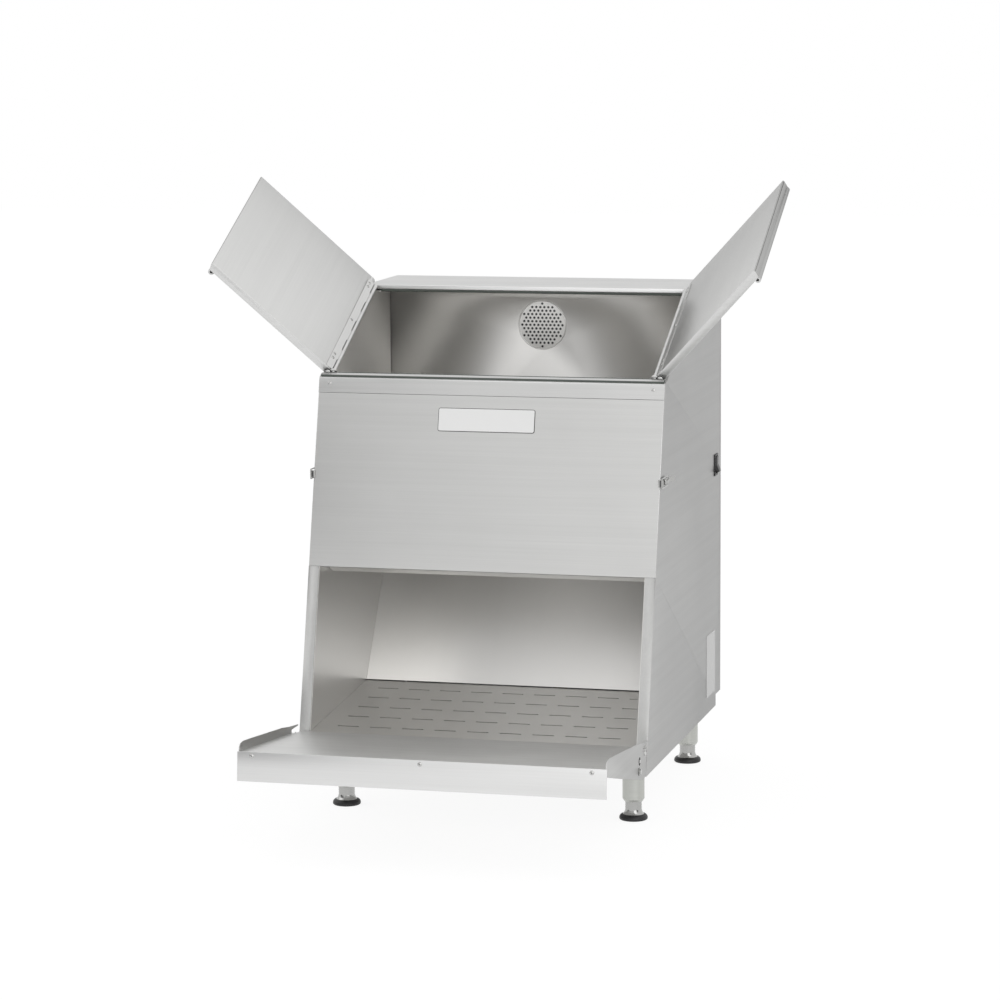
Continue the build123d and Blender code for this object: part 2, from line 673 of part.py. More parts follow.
# ---------------------------------------------------------------- switch
def switch_body():
    """Bezel outside the wall and housing behind it, with the rocker's well."""
    shape = block(half_width, half_width + 2.0, switch_y - 14.0, switch_y + 14.0,
                  switch_z - 18.5, switch_z + 18.5)
    shape += block(half_width - 24.0, half_width, switch_y - 10.3, switch_y + 10.3,
                   switch_z - 15.8, switch_z + 15.8)
    shape -= block(half_width - 13.0, half_width + 5.0, switch_y - 8.8, switch_y + 8.8,
                   switch_z - 14.8, switch_z + 14.8)
    return shape - rod_y(rocker_pivot_x, switch_z, 1.5 + bore_clearance,
                         switch_y - 9.8, switch_y + 9.8)


def rocker():
    """Switch button, drawn with its upper half pressed in."""
    half = 8.5
    outline = Polyline((-6.0, -8.0), (-6.0, 8.0), (5.0, 13.2), (9.0, 13.0), (6.4, 0.0),
                       (9.0, -13.0), (5.0, -13.2), close=True)
    plane = Plane((0, half, 0), x_dir=(1, 0, 0), z_dir=(0, -1, 0))
    shape = extrude(plane * make_face(outline), 2 * half, dir=(0, -1, 0))
    shape += rod_y(0.0, 0.0, 1.5, -9.5, 9.5)
    return Pos(rocker_pivot_x, switch_y, switch_z) * Rot(0, -rocker_tilt, 0) * shape


save(switch_body(), "switch_body")
save(rocker(), "switch_rocker")


# ---------------------------------------------------------------- blower, heater and wiring
def blower_face(inset=0.0):
    low = blower_z - blower_radius + inset
    return (Pos(blower_y, blower_z) * Circle(blower_radius - inset)
            + area(outlet_y - 5.0 * (inset > 0), blower_y, low,
                   blower_z - blower_radius + outlet_height - inset))


def blower_housing():
    """Scroll with its outlet facing forward, an intake on the left, the motor on the right."""
    half = blower_half_width
    shape = slab(blower_face(), -half, half)
    shape -= slab(blower_face(skin), -half + skin, half - skin)
    shape -= rod_x(blower_y, blower_z, 40.0, -half - 5, -half + 5)
    return shape - rod_x(blower_y, blower_z, 9.0, half - 5, half + 5)


def impeller():
    """Squirrel-cage wheel on its shaft."""
    low, high = -24.0, 24.0
    shape = rod_x(blower_y, blower_z, impeller_radius, high - 2.0, high)
    shape += (rod_x(blower_y, blower_z, impeller_radius, low, low + 2.0)
              - rod_x(blower_y, blower_z, impeller_radius - 14.0, low - 1, low + 3))
    blade = block(low + 1.0, high - 1.0, impeller_radius - 12.0, impeller_radius - 2.0,
                  -0.6, 0.6)
    for index in range(blade_count):
        turned = Rot(360.0 * index / blade_count, 0, 0) * blade
        shape += Pos(0, blower_y, blower_z) * turned
    shape += rod_x(blower_y, blower_z, 11.0, high - 18.0, high - 1.0)
    return shape + rod_x(blower_y, blower_z, shaft_radius, high - 8.0, 70.0)


def motor():
    low = blower_half_width
    shape = rod_x(blower_y, blower_z, 36.0, low, low + 58.0)
    shape += rod_x(blower_y, blower_z, 14.0, low + 58.0, low + 66.0)
    return shape - rod_x(blower_y, blower_z, shaft_radius + shaft_clearance, low - 1, 72.0)


def air_duct():
    """Box between the blower's outlet and the space under the floor."""
    half, low = duct_half_width, floor_z
    shape = block(-half, half, duct_front_y, outlet_y - gap, low, duct_top_z)
    shape -= block(-half + 1.2, half - 1.2, duct_front_y - 5, outlet_y - gap - 1.2,
                   low + 1.2, duct_top_z - 1.2)
    shape -= block(-blower_half_width + 1, blower_half_width - 1, outlet_y - 9, outlet_y + 5,
                   low + 2.0, low + outlet_height - 2.0)
    for level in heater_levels:
        shape -= rod_x(heater_y, level, 4.4, half - 5, half + 5)
    return shape


heater_y, heater_levels = 370.0, (112.0, 125.0, 138.0)


def heater():
    """Three finned rods across the duct; their ends pass through its right-hand side."""
    shape = None
    for level in heater_levels:
        rod = rod_x(heater_y, level, 4.0, -duct_half_width + 3.0, duct_half_width + 14.0)
        shape = rod if shape is None else shape + rod
    for index in range(16):
        x = -97.0 + 12.8 * index
        shape += block(x, x + 0.8, heater_y - 12.0, heater_y + 12.0, 103.0, 147.0)
    return shape


def thermostat():
    shape = block(150.0, 192.0, 548.0, 574.0, floor_z, floor_z + 40.0)
    return shape + rod_z(171.0, 561.0, 5.0, floor_z + 40.0, floor_z + 52.0)


def terminal_block():
    y = cabinet_depth - skin
    shape = block(120.0, 170.0, y - 16.0, y, 240.0, 262.0)
    for index in range(5):
        x = 125.0 + 10.0 * index
        shape -= block(x - 3.5, x + 3.5, y - 20.0, y - 11.0, 245.0, 257.0)
    return shape


def cable_gland():
    """Plastic gland through the back, with an open bore where the supply cord goes in."""
    inner = cabinet_depth - skin
    shape = rod_y(gland_x, gland_z, 9.0, inner - 10.0, cabinet_depth + 6.0)
    hexagon = RegularPolygon(13.0, 6)
    plane = Plane((gland_x, inner, gland_z), x_dir=(1, 0, 0), z_dir=(0, -1, 0))
    shape += extrude(plane * hexagon, 6.0, dir=(0, -1, 0))
    plane = Plane((gland_x, cabinet_depth, gland_z), x_dir=(1, 0, 0), z_dir=(0, -1, 0))
    shape += extrude(plane * hexagon, 8.0, dir=(0, 1, 0))
    shape += rod_y(gland_x, gland_z, 10.5, cabinet_depth + 8.0, cabinet_depth + gland_reach)
    return shape - rod_y(gland_x, gland_z, cord_hole_radius, inner - 20.0,
                         cabinet_depth + gland_reach + 5.0)


def cabinet_screws():
    """Pan-head screws of the rear cover and the top panel's rear fold, two rivets in the cap."""
    parts = [extrude(front_plane(611.1, 0.0, x) * Circle(3.0), 1.2) for x in (-267.7, 267.7)]
    for x in (-274.0, -92.0, 92.0, 274.0):
        for z in (135.0, 780.0):
            parts.append(rod_y(x, z, 4.0, cabinet_depth, cabinet_depth + 2.0))
    for z in (350.0, 565.0):
        for x in (-274.0, 274.0):
            parts.append(rod_y(x, z, 4.0, cabinet_depth, cabinet_depth + 2.0))
    return group(*parts)


save(blower_housing(), "blower_housing")
save(impeller(), "blower_impeller")
save(motor(), "blower_motor")
save(air_duct(), "air_duct")
save(heater(), "heater_element")
save(thermostat(), "thermostat")
save(rod_z(60.0, heater_y, 12.0, duct_top_z, duct_top_z + 9.0), "overheat_cutout")
save(terminal_block(), "terminal_block")
save(cable_gland(), "cable_gland")
save(cabinet_screws(), "cabinet_screws")
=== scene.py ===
# %% [markdown]
# # Dressing a chip warmer
# The object is a catering cabinet of folded stainless sheet: butterfly lids on top, a tray that
# folds down in front, four legs. Its solids come ready made from CAD, in metres, and they stay
# where they are. This lesson adds what a solid model leaves out: rolled folds, screw heads,
# brushed metal, enamel and rubber. The first step loads the solids as a fixed frame.

# %% Load the fixed frame
import json
from math import cos, pi, radians, sin

import bmesh
import bpy
from mathutils import Matrix, Vector

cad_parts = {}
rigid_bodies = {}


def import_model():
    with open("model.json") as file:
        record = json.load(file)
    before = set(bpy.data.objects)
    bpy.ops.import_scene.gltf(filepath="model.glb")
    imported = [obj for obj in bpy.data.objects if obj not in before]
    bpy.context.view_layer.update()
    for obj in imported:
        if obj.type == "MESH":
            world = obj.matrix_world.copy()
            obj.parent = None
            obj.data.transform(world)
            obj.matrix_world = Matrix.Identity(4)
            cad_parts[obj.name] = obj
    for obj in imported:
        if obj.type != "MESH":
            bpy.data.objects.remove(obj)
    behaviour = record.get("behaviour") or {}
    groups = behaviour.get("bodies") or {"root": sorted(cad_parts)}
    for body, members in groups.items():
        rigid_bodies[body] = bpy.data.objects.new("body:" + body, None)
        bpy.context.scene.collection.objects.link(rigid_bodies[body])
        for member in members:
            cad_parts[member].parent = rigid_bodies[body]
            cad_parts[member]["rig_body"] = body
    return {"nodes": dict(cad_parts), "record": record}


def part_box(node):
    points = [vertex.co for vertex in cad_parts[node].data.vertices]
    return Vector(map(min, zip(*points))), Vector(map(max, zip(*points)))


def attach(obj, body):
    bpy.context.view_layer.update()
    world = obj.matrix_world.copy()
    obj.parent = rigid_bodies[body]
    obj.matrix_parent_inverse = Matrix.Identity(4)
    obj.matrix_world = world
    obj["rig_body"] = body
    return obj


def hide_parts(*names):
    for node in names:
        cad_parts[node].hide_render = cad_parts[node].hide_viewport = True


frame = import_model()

nodes = frame["nodes"]
slot_of = {row["node"]: row["material_slot"] for row in frame["record"]["subparts"]}
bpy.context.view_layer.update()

# %% [markdown]
# Every place on the cabinet is easiest to give along its own slopes: so far up the leaning
# front, so far up the sloping top opening. Two small functions turn such distances into points.
# The drawing's zero lies at the cabinet's front bottom edge, and the frame's zero under the
# middle of the whole object, so the shift between them is read from one node's box.

# %% Points on the leaning front and on the roof slope
LEAN, PITCH = radians(13.46), radians(25.8)
BASE_HEIGHT, FRONT_LENGTH, HALF_WIDTH = 0.097, 0.6202, 0.286
DEPTH, GLAND_END = 0.6175, 0.6435        # both from the front bottom edge
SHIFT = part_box("cable_gland")[1].y - GLAND_END
SIDES = ((-1, "left"), (1, "right"))


def front_point(x, up, inward=0.0):
    """A point given by its distance up the leaning front and its depth behind it."""
    return Vector((x, up * sin(LEAN) + inward * cos(LEAN) + SHIFT,
                   BASE_HEIGHT + up * cos(LEAN) - inward * sin(LEAN)))


def roof_point(x, along, above=0.0):
    """A point given by its distance up the roof slope and its height above the opening."""
    start = front_point(x, FRONT_LENGTH)
    return start + Vector((0, along * cos(PITCH) - above * sin(PITCH),
                           along * sin(PITCH) + above * cos(PITCH)))


print("front top edge at", front_point(0, FRONT_LENGTH))

# %% [markdown]
# A long lens far away keeps the verticals calm, as a catalogue picture of kitchen equipment
# does. The camera is turned by three plain angles, so its matrix is written from them directly
# and no aiming constraint is needed.

# %% Camera
def add_object(name, data):
    made = bpy.data.objects.new(name, data)
    bpy.context.scene.collection.objects.link(made)
    return made


YAW, TILT, ROLL = radians(14.4235), radians(-8.2176), radians(-0.362)
FOCAL_LENGTH, SENSOR_WIDTH = 127.147, 36.0
TRIPOD = (1.4169, -5.3053 + SHIFT, 1.3202)
forward = Vector((-sin(YAW) * cos(TILT), cos(YAW) * cos(TILT), sin(TILT)))
level = Vector((cos(YAW), sin(YAW), 0))
upright = level.cross(forward)
across = cos(ROLL) * level + sin(ROLL) * upright
upward = -sin(ROLL) * level + cos(ROLL) * upright
lens = bpy.data.cameras.new("studio_camera")
lens.lens, lens.sensor_width, lens.sensor_fit = FOCAL_LENGTH, SENSOR_WIDTH, "HORIZONTAL"
lens.clip_end = 100.0
camera = add_object("studio_camera", lens)
camera.matrix_world = Matrix((across, upward, -forward)).transposed().to_4x4()
camera.location = TRIPOD
bpy.context.scene.camera = camera
bpy.context.scene.view_settings.view_transform = "Standard"
print("camera at", tuple(camera.location), "lens", lens.lens)

# %% [markdown]
# Materials and worlds are both node trees, and node trees are long-winded to write. One small
# class wraps a socket so that shader maths can be written as ordinary Python expressions, and
# one method adds any other node: its type, its settings, then the values or links of its
# sockets. The same two classes also build the Geometry Nodes further down. Floor and cards are
# single faces, which one more function makes.

# %% A short way to write node trees
class Wire:
    """An output socket that can be added, subtracted and multiplied."""

    def __init__(self, graph, socket):
        self.graph, self.socket = graph, socket

    def other(self, name):
        """Another output of the same node."""
        return Wire(self.graph, self.socket.node.outputs[name])

    def _math(self, operation, first, second):
        return self.graph.node("ShaderNodeMath", {"operation": operation}, {0: first, 1: second})

    def __add__(self, value):
        return self._math("ADD", self, value)

    def __sub__(self, value):
        return self._math("SUBTRACT", self, value)

    def __mul__(self, value):
        return self._math("MULTIPLY", self, value)

    __radd__ = __add__


class Graph:
    """A node tree that is built one call at a time."""

    def __init__(self, tree):
        self.tree = tree
        tree.nodes.clear()

    def node(self, kind, settings=None, inputs=None, out=0):
        made = self.tree.nodes.new(kind)
        for key, value in (settings or {}).items():
            setattr(made, key, value)
        for key, value in (inputs or {}).items():
            socket = made.inputs[key]
            for item in value if isinstance(value, list) else [value]:
                if isinstance(item, Wire):
                    self.tree.links.new(item.socket, socket)
                elif socket.type == "RGBA" and len(item) == 3:
                    socket.default_value = (*item, 1.0)
                else:
                    socket.default_value = item
        return Wire(self, made.outputs[out]) if made.outputs else made

    def seen(self):
        """1 for rays from the camera, off mirrors and through glass, 0 for matt light."""
        ray = self.node("ShaderNodeLightPath", out="Is Camera Ray")
        return ray + ray.other("Is Glossy Ray") + ray.other("Is Transmission Ray")


def new_material(name):
    """An empty material and the graph of its node tree."""
    material = bpy.data.materials.new(name)
    material.use_nodes = True
    return material, Graph(material.node_tree)


def flat_sheet(name, corners, paint):
    mesh = bpy.data.meshes.new(name)
    mesh.from_pydata(corners, [], [(0, 1, 2, 3)])
    mesh.materials.append(paint)
    return add_object(name, mesh)


print("node helpers ready")

# %% [markdown]
# Polished and brushed steel show their surroundings more than their own colour, so the studio
# matters as much as the metal. Camera, mirror and glass rays see plain white all round; only
# the light that falls on matt surfaces comes from a greyer sky, which keeps soft shadows.

# %% World
SKY_LEVEL, WHITE = 0.75, (1.0, 1.0, 1.0)
world = bpy.data.worlds.new("studio_sky")
world.use_nodes = True
bpy.context.scene.world = world
sky = Graph(world.node_tree)
ambient = sky.node("ShaderNodeBackground", {}, {"Color": WHITE, "Strength": SKY_LEVEL})
backdrop = sky.node("ShaderNodeBackground", {}, {"Color": WHITE, "Strength": 1.0})
sky.node("ShaderNodeOutputWorld", {}, {"Surface": sky.node(
    "ShaderNodeMixShader", {}, {0: sky.seen(), 1: ambient, 2: backdrop})})
print("sky level", SKY_LEVEL)

# %% [markdown]
# The floor has to be as white as the sky and still keep the shadow under the legs. Mixing a
# little diffuse white into plain emission does both: unshaded floor stays white and the contact
# shadow takes away only the diffuse share. From below the floor is clear, so that the cabinet's
# underside can be looked at.

# %% Floor
FLOOR_GLOW, FLOOR_HALF = 0.84, 15.0
floor_paint, paper = new_material("studio_floor_paint")
matt = paper.node("ShaderNodeBsdfDiffuse", {}, {"Color": (0.96, 0.96, 0.96)})
glow = paper.node("ShaderNodeEmission", {}, {"Color": WHITE, "Strength": 1.06})
sheet = paper.node("ShaderNodeMixShader", {}, {0: paper.seen() * FLOOR_GLOW, 1: matt, 2: glow})
below = paper.node("ShaderNodeNewGeometry", out="Backfacing")
paper.node("ShaderNodeOutputMaterial", {}, {"Surface": paper.node(
    "ShaderNodeMixShader", {}, {0: below, 1: sheet, 2: paper.node("ShaderNodeBsdfTransparent")})})
floor = flat_sheet("studio_floor", [(x * FLOOR_HALF, y * FLOOR_HALF, 0) for x, y in (
    (-1, -1), (1, -1), (1, 1), (-1, 1))], floor_paint)
print("floor glow", FLOOR_GLOW)

# %% [markdown]
# Two large soft lamps: a key from the right front and a weaker fill from the left. Large lamps
# give broad, soft highlights on brushed metal instead of hot spots. Both stand where no large
# flat sheet mirrors them into this camera; only rolled folds and screw heads pick them up.

# %% Lamps
def soft_lamp(name, place, aim, size, watts):
    light = bpy.data.lights.new(name, "AREA")
    light.shape, light.size, light.energy = "SQUARE", size, watts
    lamp = add_object(name, light)
    turn = (Vector(aim) - Vector(place)).to_track_quat("-Z", "Y")
    lamp.matrix_world = Matrix.Translation(place) @ turn.to_matrix().to_4x4()


MIDDLE = (0, 0, 0.45)
soft_lamp("key_lamp", (3.2, -3.6, 2.3), MIDDLE, 4.0, 56.0)
soft_lamp("fill_lamp", (-3.6, -1.0, 2.2), MIDDLE, 2.6, 18.0)
print("two lamps")

# %% [markdown]
# Round bright parts, such as legs and screw heads, look flat in an all-white studio, because
# every side of them mirrors the same white. Photographers stand dark cards beside the set. A
# third card hangs in front on the left, clear of the floor: the leaning front mirrors it as a
# soft fall-off towards its left edge. Only mirror rays may see the cards, so they stay out of
# every picture and cast no shadow.

# %% Dark cards
card_paint, card = new_material("dark_card")
card.node("ShaderNodeOutputMaterial", {}, {"Surface": card.node(
    "ShaderNodeBsdfDiffuse", {}, {"Color": (0.10, 0.10, 0.10)})})
# lower corner, way to the next one, height
CARDS = {"left_card": ((-3.0, -2.4, 0.02), (0.0, 1.6, 0.0), 1.58),
         "right_card": ((3.4, -2.4, 0.02), (0.0, 1.6, 0.0), 1.58),
         "front_card": ((-4.2, -3.6, 0.9), (1.9, -0.3, 0.0), 2.2)}
for name, (foot, along, height) in CARDS.items():
    start, end, rise = Vector(foot), Vector(foot) + Vector(along), Vector((0, 0, height))
    flag = flat_sheet(name, [start, end, end + rise, start + rise], card_paint)
    for kind in ("camera", "diffuse", "transmission", "volume_scatter", "shadow"):
        setattr(flag, f"visible_{kind}", False)
print(len(CARDS), "cards")

# %% [markdown]
# A finish is a material with a name a sheet-metal shop would use. The class adds three things
# to a node graph: noise stretched along a direction, a blend of two colours, and the surface
# itself. Numbers that are the same all over go straight onto the shader's sockets.

# %% The finish class
class Finish(Graph):
    def __init__(self, name):
        self.material = bpy.data.materials.new(name)
        self.material.use_nodes = True
        super().__init__(self.material.node_tree)
        self.place = self.node("ShaderNodeTexCoord", out="Object")

    def noise(self, stretch, turn=(0, 0, 0), detail=2.0, roughness=0.5):
        """Noise from 0 to 1 whose scale is given along each axis, in cycles per metre."""
        if not isinstance(stretch, tuple):
            stretch = (stretch, stretch, stretch)
        turned = self.node("ShaderNodeMapping", {}, {"Vector": self.place, "Rotation": turn})
        spread = self.node("ShaderNodeMapping", {}, {"Vector": turned, "Scale": stretch})
        return self.node("ShaderNodeTexNoise", {}, {
            "Vector": spread, "Scale": 1.0, "Detail": detail, "Roughness": roughness})

    def ramp(self, value, *stops):
        """A colour ramp through two greys, each given as (position, grey)."""
        wire = self.node("ShaderNodeValToRGB", {}, {"Fac": value})
        for element, (position, grey) in zip(wire.socket.node.color_ramp.elements, stops):
            element.position, element.color = position, (grey, grey, grey, 1.0)
        return wire

    def blend(self, factor, first, second):
        return self.node("ShaderNodeMix", {"data_type": "RGBA"},
                         {0: factor, 6: first, 7: second}, out=2)

    def bump(self, height, strength, distance):
        return self.node("ShaderNodeBump", {}, {
            "Height": height, "Strength": strength, "Distance": distance})

    def surface(self, **sockets):
        named = {key.replace("_", " "): value for key, value in sockets.items()}
        shader = self.node("ShaderNodeBsdfPrincipled", {}, named)
        self.node("ShaderNodeOutputMaterial", {}, {"Surface": shader})
        return self.material


def shade(colour, amount):
    """The colour, lighter or darker by a share of itself."""
    return tuple(min(1.0, channel * (1 + amount)) for channel in colour)


print("finish class ready")

# %% [markdown]
# Brushed sheet is made by a belt that leaves fine parallel scratches. Up close they are hair
# lines, from further off they merge into soft bands, and a used cabinet adds faint wiped
# smudges. Each is a noise of its own: two are stretched along the grain, one is round. They
# move the colour and the roughness by a few percent. Only the broad bands give a very low bump:
# a bump finer than a pixel would turn into false marks. The roughness of every metal here also
# stays on one side of about 0.27 all over: below it the denoiser is guided by what a metal
# mirrors, above it by the metal itself, and a sheet that crosses the line shows worm-like marks.

# %% Brushed stainless sheet
GRAIN = {"x": (4.0, 500.0, 500.0), "y": (500.0, 4.0, 500.0), "z": (500.0, 500.0, 4.0)}
BANDS = {"x": (1.2, 90.0, 90.0), "y": (90.0, 1.2, 90.0), "z": (90.0, 90.0, 1.2)}


def brushed_sheet(name, colour, along, slope=0.0, roughness=0.36, contrast=0.09):
    """Stainless sheet brushed along an axis, which may be turned about X by the slope."""
    steel = Finish(name)
    turn = (-slope, 0.0, 0.0)
    hair = steel.noise(GRAIN[along], turn, detail=3.0, roughness=0.6)
    band = steel.noise(BANDS[along], turn, detail=2.0)
    smudge = steel.noise(5.5, detail=3.0, roughness=0.55)
    tone = hair * 0.9 + band * 0.7 + smudge * 0.8 - 0.7
    tint = steel.blend(tone, shade(colour, -contrast), shade(colour, contrast))
    return steel.surface(
        Base_Color=tint, Metallic=1.0, Specular_Tint=(0.62, 0.62, 0.62),
        Roughness=roughness + (hair - 0.5) * 0.08 + (smudge - 0.5) * 0.08,
        Normal=steel.bump(band, 0.12, 0.0003))


# All these sheets are one stainless steel, and their greys differ as painted light and shade: each
# is set to how bright that sheet shows under these lamps. The top, the tray and its strip are
# painted lighter, the side walls, posts and back darker, the lid's free edge darker still and the
# lid's two ends lighter.
front_sheet = brushed_sheet("front_sheet", (0.600, 0.600, 0.592), "x", contrast=0.06)
cap_sheet = brushed_sheet("cap_sheet", (0.610, 0.610, 0.604), "x")
side_sheet = brushed_sheet("side_sheet", (0.550, 0.550, 0.544), "y")
post_sheet = brushed_sheet("post_sheet", (0.540, 0.540, 0.532), "z", LEAN)
top_sheet = brushed_sheet("top_sheet", (0.820, 0.820, 0.814), "x")
lid_sheet = brushed_sheet("lid_sheet", (0.670, 0.670, 0.662), "y", PITCH, contrast=0.05)
tray_steel = brushed_sheet("tray_steel", (0.820, 0.820, 0.810), "x", roughness=0.42)
strip_sheet = brushed_sheet("strip_sheet", (0.730, 0.730, 0.725), "x", contrast=0.05)
wing_sheet = brushed_sheet("wing_sheet", (0.620, 0.620, 0.612), "y")
back_sheet = brushed_sheet("back_sheet", (0.560, 0.560, 0.553), "x", roughness=0.38)
edge_sheet = brushed_sheet("edge_sheet", (0.470, 0.470, 0.464), "y", PITCH)
end_sheet = brushed_sheet("end_sheet", (0.680, 0.680, 0.674), "x")
print("brushed sheets:", [m.name for m in bpy.data.materials if m.name.endswith("sheet")])

# %% [markdown]
# The chip room is lined with thinner mill-finished sheet. It has no belt grain: a cold-rolled
# surface with soft cloudy patches and faint rolling lines, and it is a little yellower.

# %% Mill-finished liner
def mill_sheet(name, colour, roughness=0.34):
    steel = Finish(name)
    cloud = steel.noise(4.0, detail=2.0, roughness=0.5)
    rolled = steel.noise((60.0, 2.0, 2.0), detail=1.0)
    return steel.surface(
        Base_Color=steel.blend(cloud * 0.8 + rolled * 0.2, shade(colour, -0.05),
                               shade(colour, 0.03)),
        Metallic=1.0, Roughness=roughness + (cloud - 0.5) * 0.10)


# The liner's pale grey is partly painted light: it is set high so that the chip room, which the
# lamps reach only through the opening, shows bright.
liner_sheet = mill_sheet("liner_sheet", (0.760, 0.752, 0.735))
pan_sheet = mill_sheet("pan_sheet", (0.560, 0.555, 0.545), 0.38)
print("liner finishes ready")

# %% [markdown]
# Small steel parts are polished or turned instead of brushed: screws, pins and latch wire are
# bright with faint wear, the leg tubes are duller and slightly olive. The latch parts and the
# foot stems get darker copies of the bright steel: that darkness is painted shade, standing for
# the dark outlines and reflections these small round parts show. Zinc coating shows large
# pale crystals, which a Voronoi texture draws with its cell colours, and the heater's tube has
# the brown and blue oxide of metal that has been hot.

# %% Bright, turned, zinc-coated and heat-tinted steel
def bright_steel(name, colour, roughness=0.16):
    steel = Finish(name)
    wear = steel.noise(160.0, detail=3.0)
    patch = steel.noise(35.0, detail=2.0)
    return steel.surface(
        Base_Color=steel.blend(patch, shade(colour, -0.14), shade(colour, 0.06)), Metallic=1.0,
        Roughness=roughness + (wear - 0.5) * 0.14, Normal=steel.bump(wear, 0.05, 0.0001))


def turned_tube(name, colour):
    steel = Finish(name)
    rings = steel.noise((30.0, 30.0, 420.0), detail=2.0)
    patch = steel.noise(14.0, detail=3.0)
    tone = rings * 0.6 + patch * 1.0 - 0.3
    return steel.surface(
        Base_Color=steel.blend(tone, shade(colour, -0.16), shade(colour, 0.10)), Metallic=1.0,
        Roughness=0.36 + (rings - 0.5) * 0.10 + (patch - 0.5) * 0.06)


def zinc_sheet(name, colour):
    zinc = Finish(name)
    crystals = zinc.node("ShaderNodeTexVoronoi", {}, {"Vector": zinc.place, "Scale": 85.0})
    level = zinc.node("ShaderNodeSeparateColor", {}, {"Color": crystals.other("Color")})
    cloud = zinc.noise(20.0, detail=3.0)
    tone = level * 0.6 + cloud * 0.7 - 0.15
    return zinc.surface(
        Base_Color=zinc.blend(tone, shade(colour, -0.2), shade(colour, 0.14)), Metallic=0.9,
        Roughness=0.36 + level * 0.16, Normal=zinc.bump(level, 0.06, 0.0001))


def heat_tinted(name):
    steel = Finish(name)
    patch = steel.noise(26.0, detail=3.0)
    warm = steel.blend(patch, (0.16, 0.12, 0.09), (0.30, 0.25, 0.21))
    blue = steel.ramp(steel.noise(18.0, detail=1.0), (0.52, 0.0), (0.66, 1.0))
    return steel.surface(Base_Color=steel.blend(blue * 0.5, warm, (0.16, 0.18, 0.26)),
                         Metallic=0.85, Roughness=0.38 + (patch - 0.5) * 0.2)


fixing_steel = bright_steel("fixing_steel", (0.560, 0.560, 0.550))
# Stem and latch steels: darker copies of the fixing steel, painted shade.
stem_steel = bright_steel("stem_steel", (0.440, 0.440, 0.430), 0.20)
latch_steel = bright_steel("latch_steel", (0.460, 0.460, 0.450), 0.18)
# Dark steel also paints the shadow gap on each latch keeper.
dark_steel = bright_steel("dark_steel", (0.070, 0.070, 0.072), 0.34)
pin_steel = bright_steel("pin_steel", (0.700, 0.700, 0.690), 0.12)
leg_tube = turned_tube("leg_tube", (0.520, 0.528, 0.500))
zinc_casing = zinc_sheet("zinc_casing", (0.520, 0.535, 0.545))
hot_tube = heat_tinted("hot_tube")
brass_cap = bright_steel("brass_cap", (0.640, 0.480, 0.220), 0.18)
print("small steel finishes ready")

# %% [markdown]
# Everything else on the cabinet is not bare metal: black switch and feet, rubber stops and
# gaskets, the white enamelled name plate without a name, a grey film label, the wool between
# the walls. Plastics get a fine moulded grain, rubber is duller with dust in it, wool is a
# tangle of fibres in two scales.

# %% Plastics, rubber, enamel, film and wool
def moulded(name, colour, roughness, grain=800.0, coat=0.0):
    plastic = Finish(name)
    pits = plastic.noise(grain, detail=2.0)
    rub = plastic.noise(30.0, detail=3.0)
    return plastic.surface(
        Base_Color=plastic.blend(rub, shade(colour, -0.2), shade(colour, 0.25)),
        Roughness=roughness + (rub - 0.5) * 0.22, Coat_Weight=coat, Coat_Roughness=0.15,
        Normal=plastic.bump(pits, 0.10, 0.0002))


def enamel(name, colour, roughness=0.26):
    paint = Finish(name)
    peel = paint.noise(260.0, detail=2.0)
    cloud = paint.noise(8.0, detail=2.0)
    return paint.surface(
        Base_Color=paint.blend(cloud, shade(colour, -0.025), shade(colour, 0.01)),
        Roughness=roughness + (cloud - 0.5) * 0.1, Normal=paint.bump(peel, 0.06, 0.0002))


def wool(name, colour):
    felt = Finish(name)
    tangle = felt.noise(340.0, detail=5.0, roughness=0.7)
    layer = felt.noise((30.0, 30.0, 240.0), detail=3.0)
    return felt.surface(
        Base_Color=felt.blend(tangle * 0.7 + layer * 0.5 - 0.1, shade(colour, -0.35),
                              shade(colour, 0.12)),
        Roughness=0.95, Normal=felt.bump(tangle, 0.6, 0.001))


black_moulding = moulded("black_moulding", (0.012, 0.012, 0.013), 0.44, coat=0.05)
foot_moulding = moulded("foot_moulding", (0.012, 0.012, 0.013), 0.46)
cream_moulding = moulded("cream_moulding", (0.62, 0.60, 0.52), 0.45)
# This black is rubber on the stops and also paints shade: the dark rings under the wing heads and
# round the hinge bushes, and the dark disc in each bush.
stop_rubber = moulded("stop_rubber", (0.022, 0.022, 0.022), 0.75, 700.0)
gasket_rubber = moulded("gasket_rubber", (0.075, 0.088, 0.078), 0.62, 900.0)
white_enamel = enamel("white_enamel", (0.80, 0.80, 0.795))
grey_film = enamel("grey_film", (0.530, 0.530, 0.525), 0.40)
motor_black = enamel("motor_black", (0.020, 0.020, 0.022), 0.38)
mineral_wool = wool("mineral_wool", (0.55, 0.47, 0.26))
print("non-metal finishes ready")

# %% [markdown]
# The record says which finish family every solid belongs to. A dictionary turns that into the
# materials above, with a second one for the sheets that have a grain direction of their own.

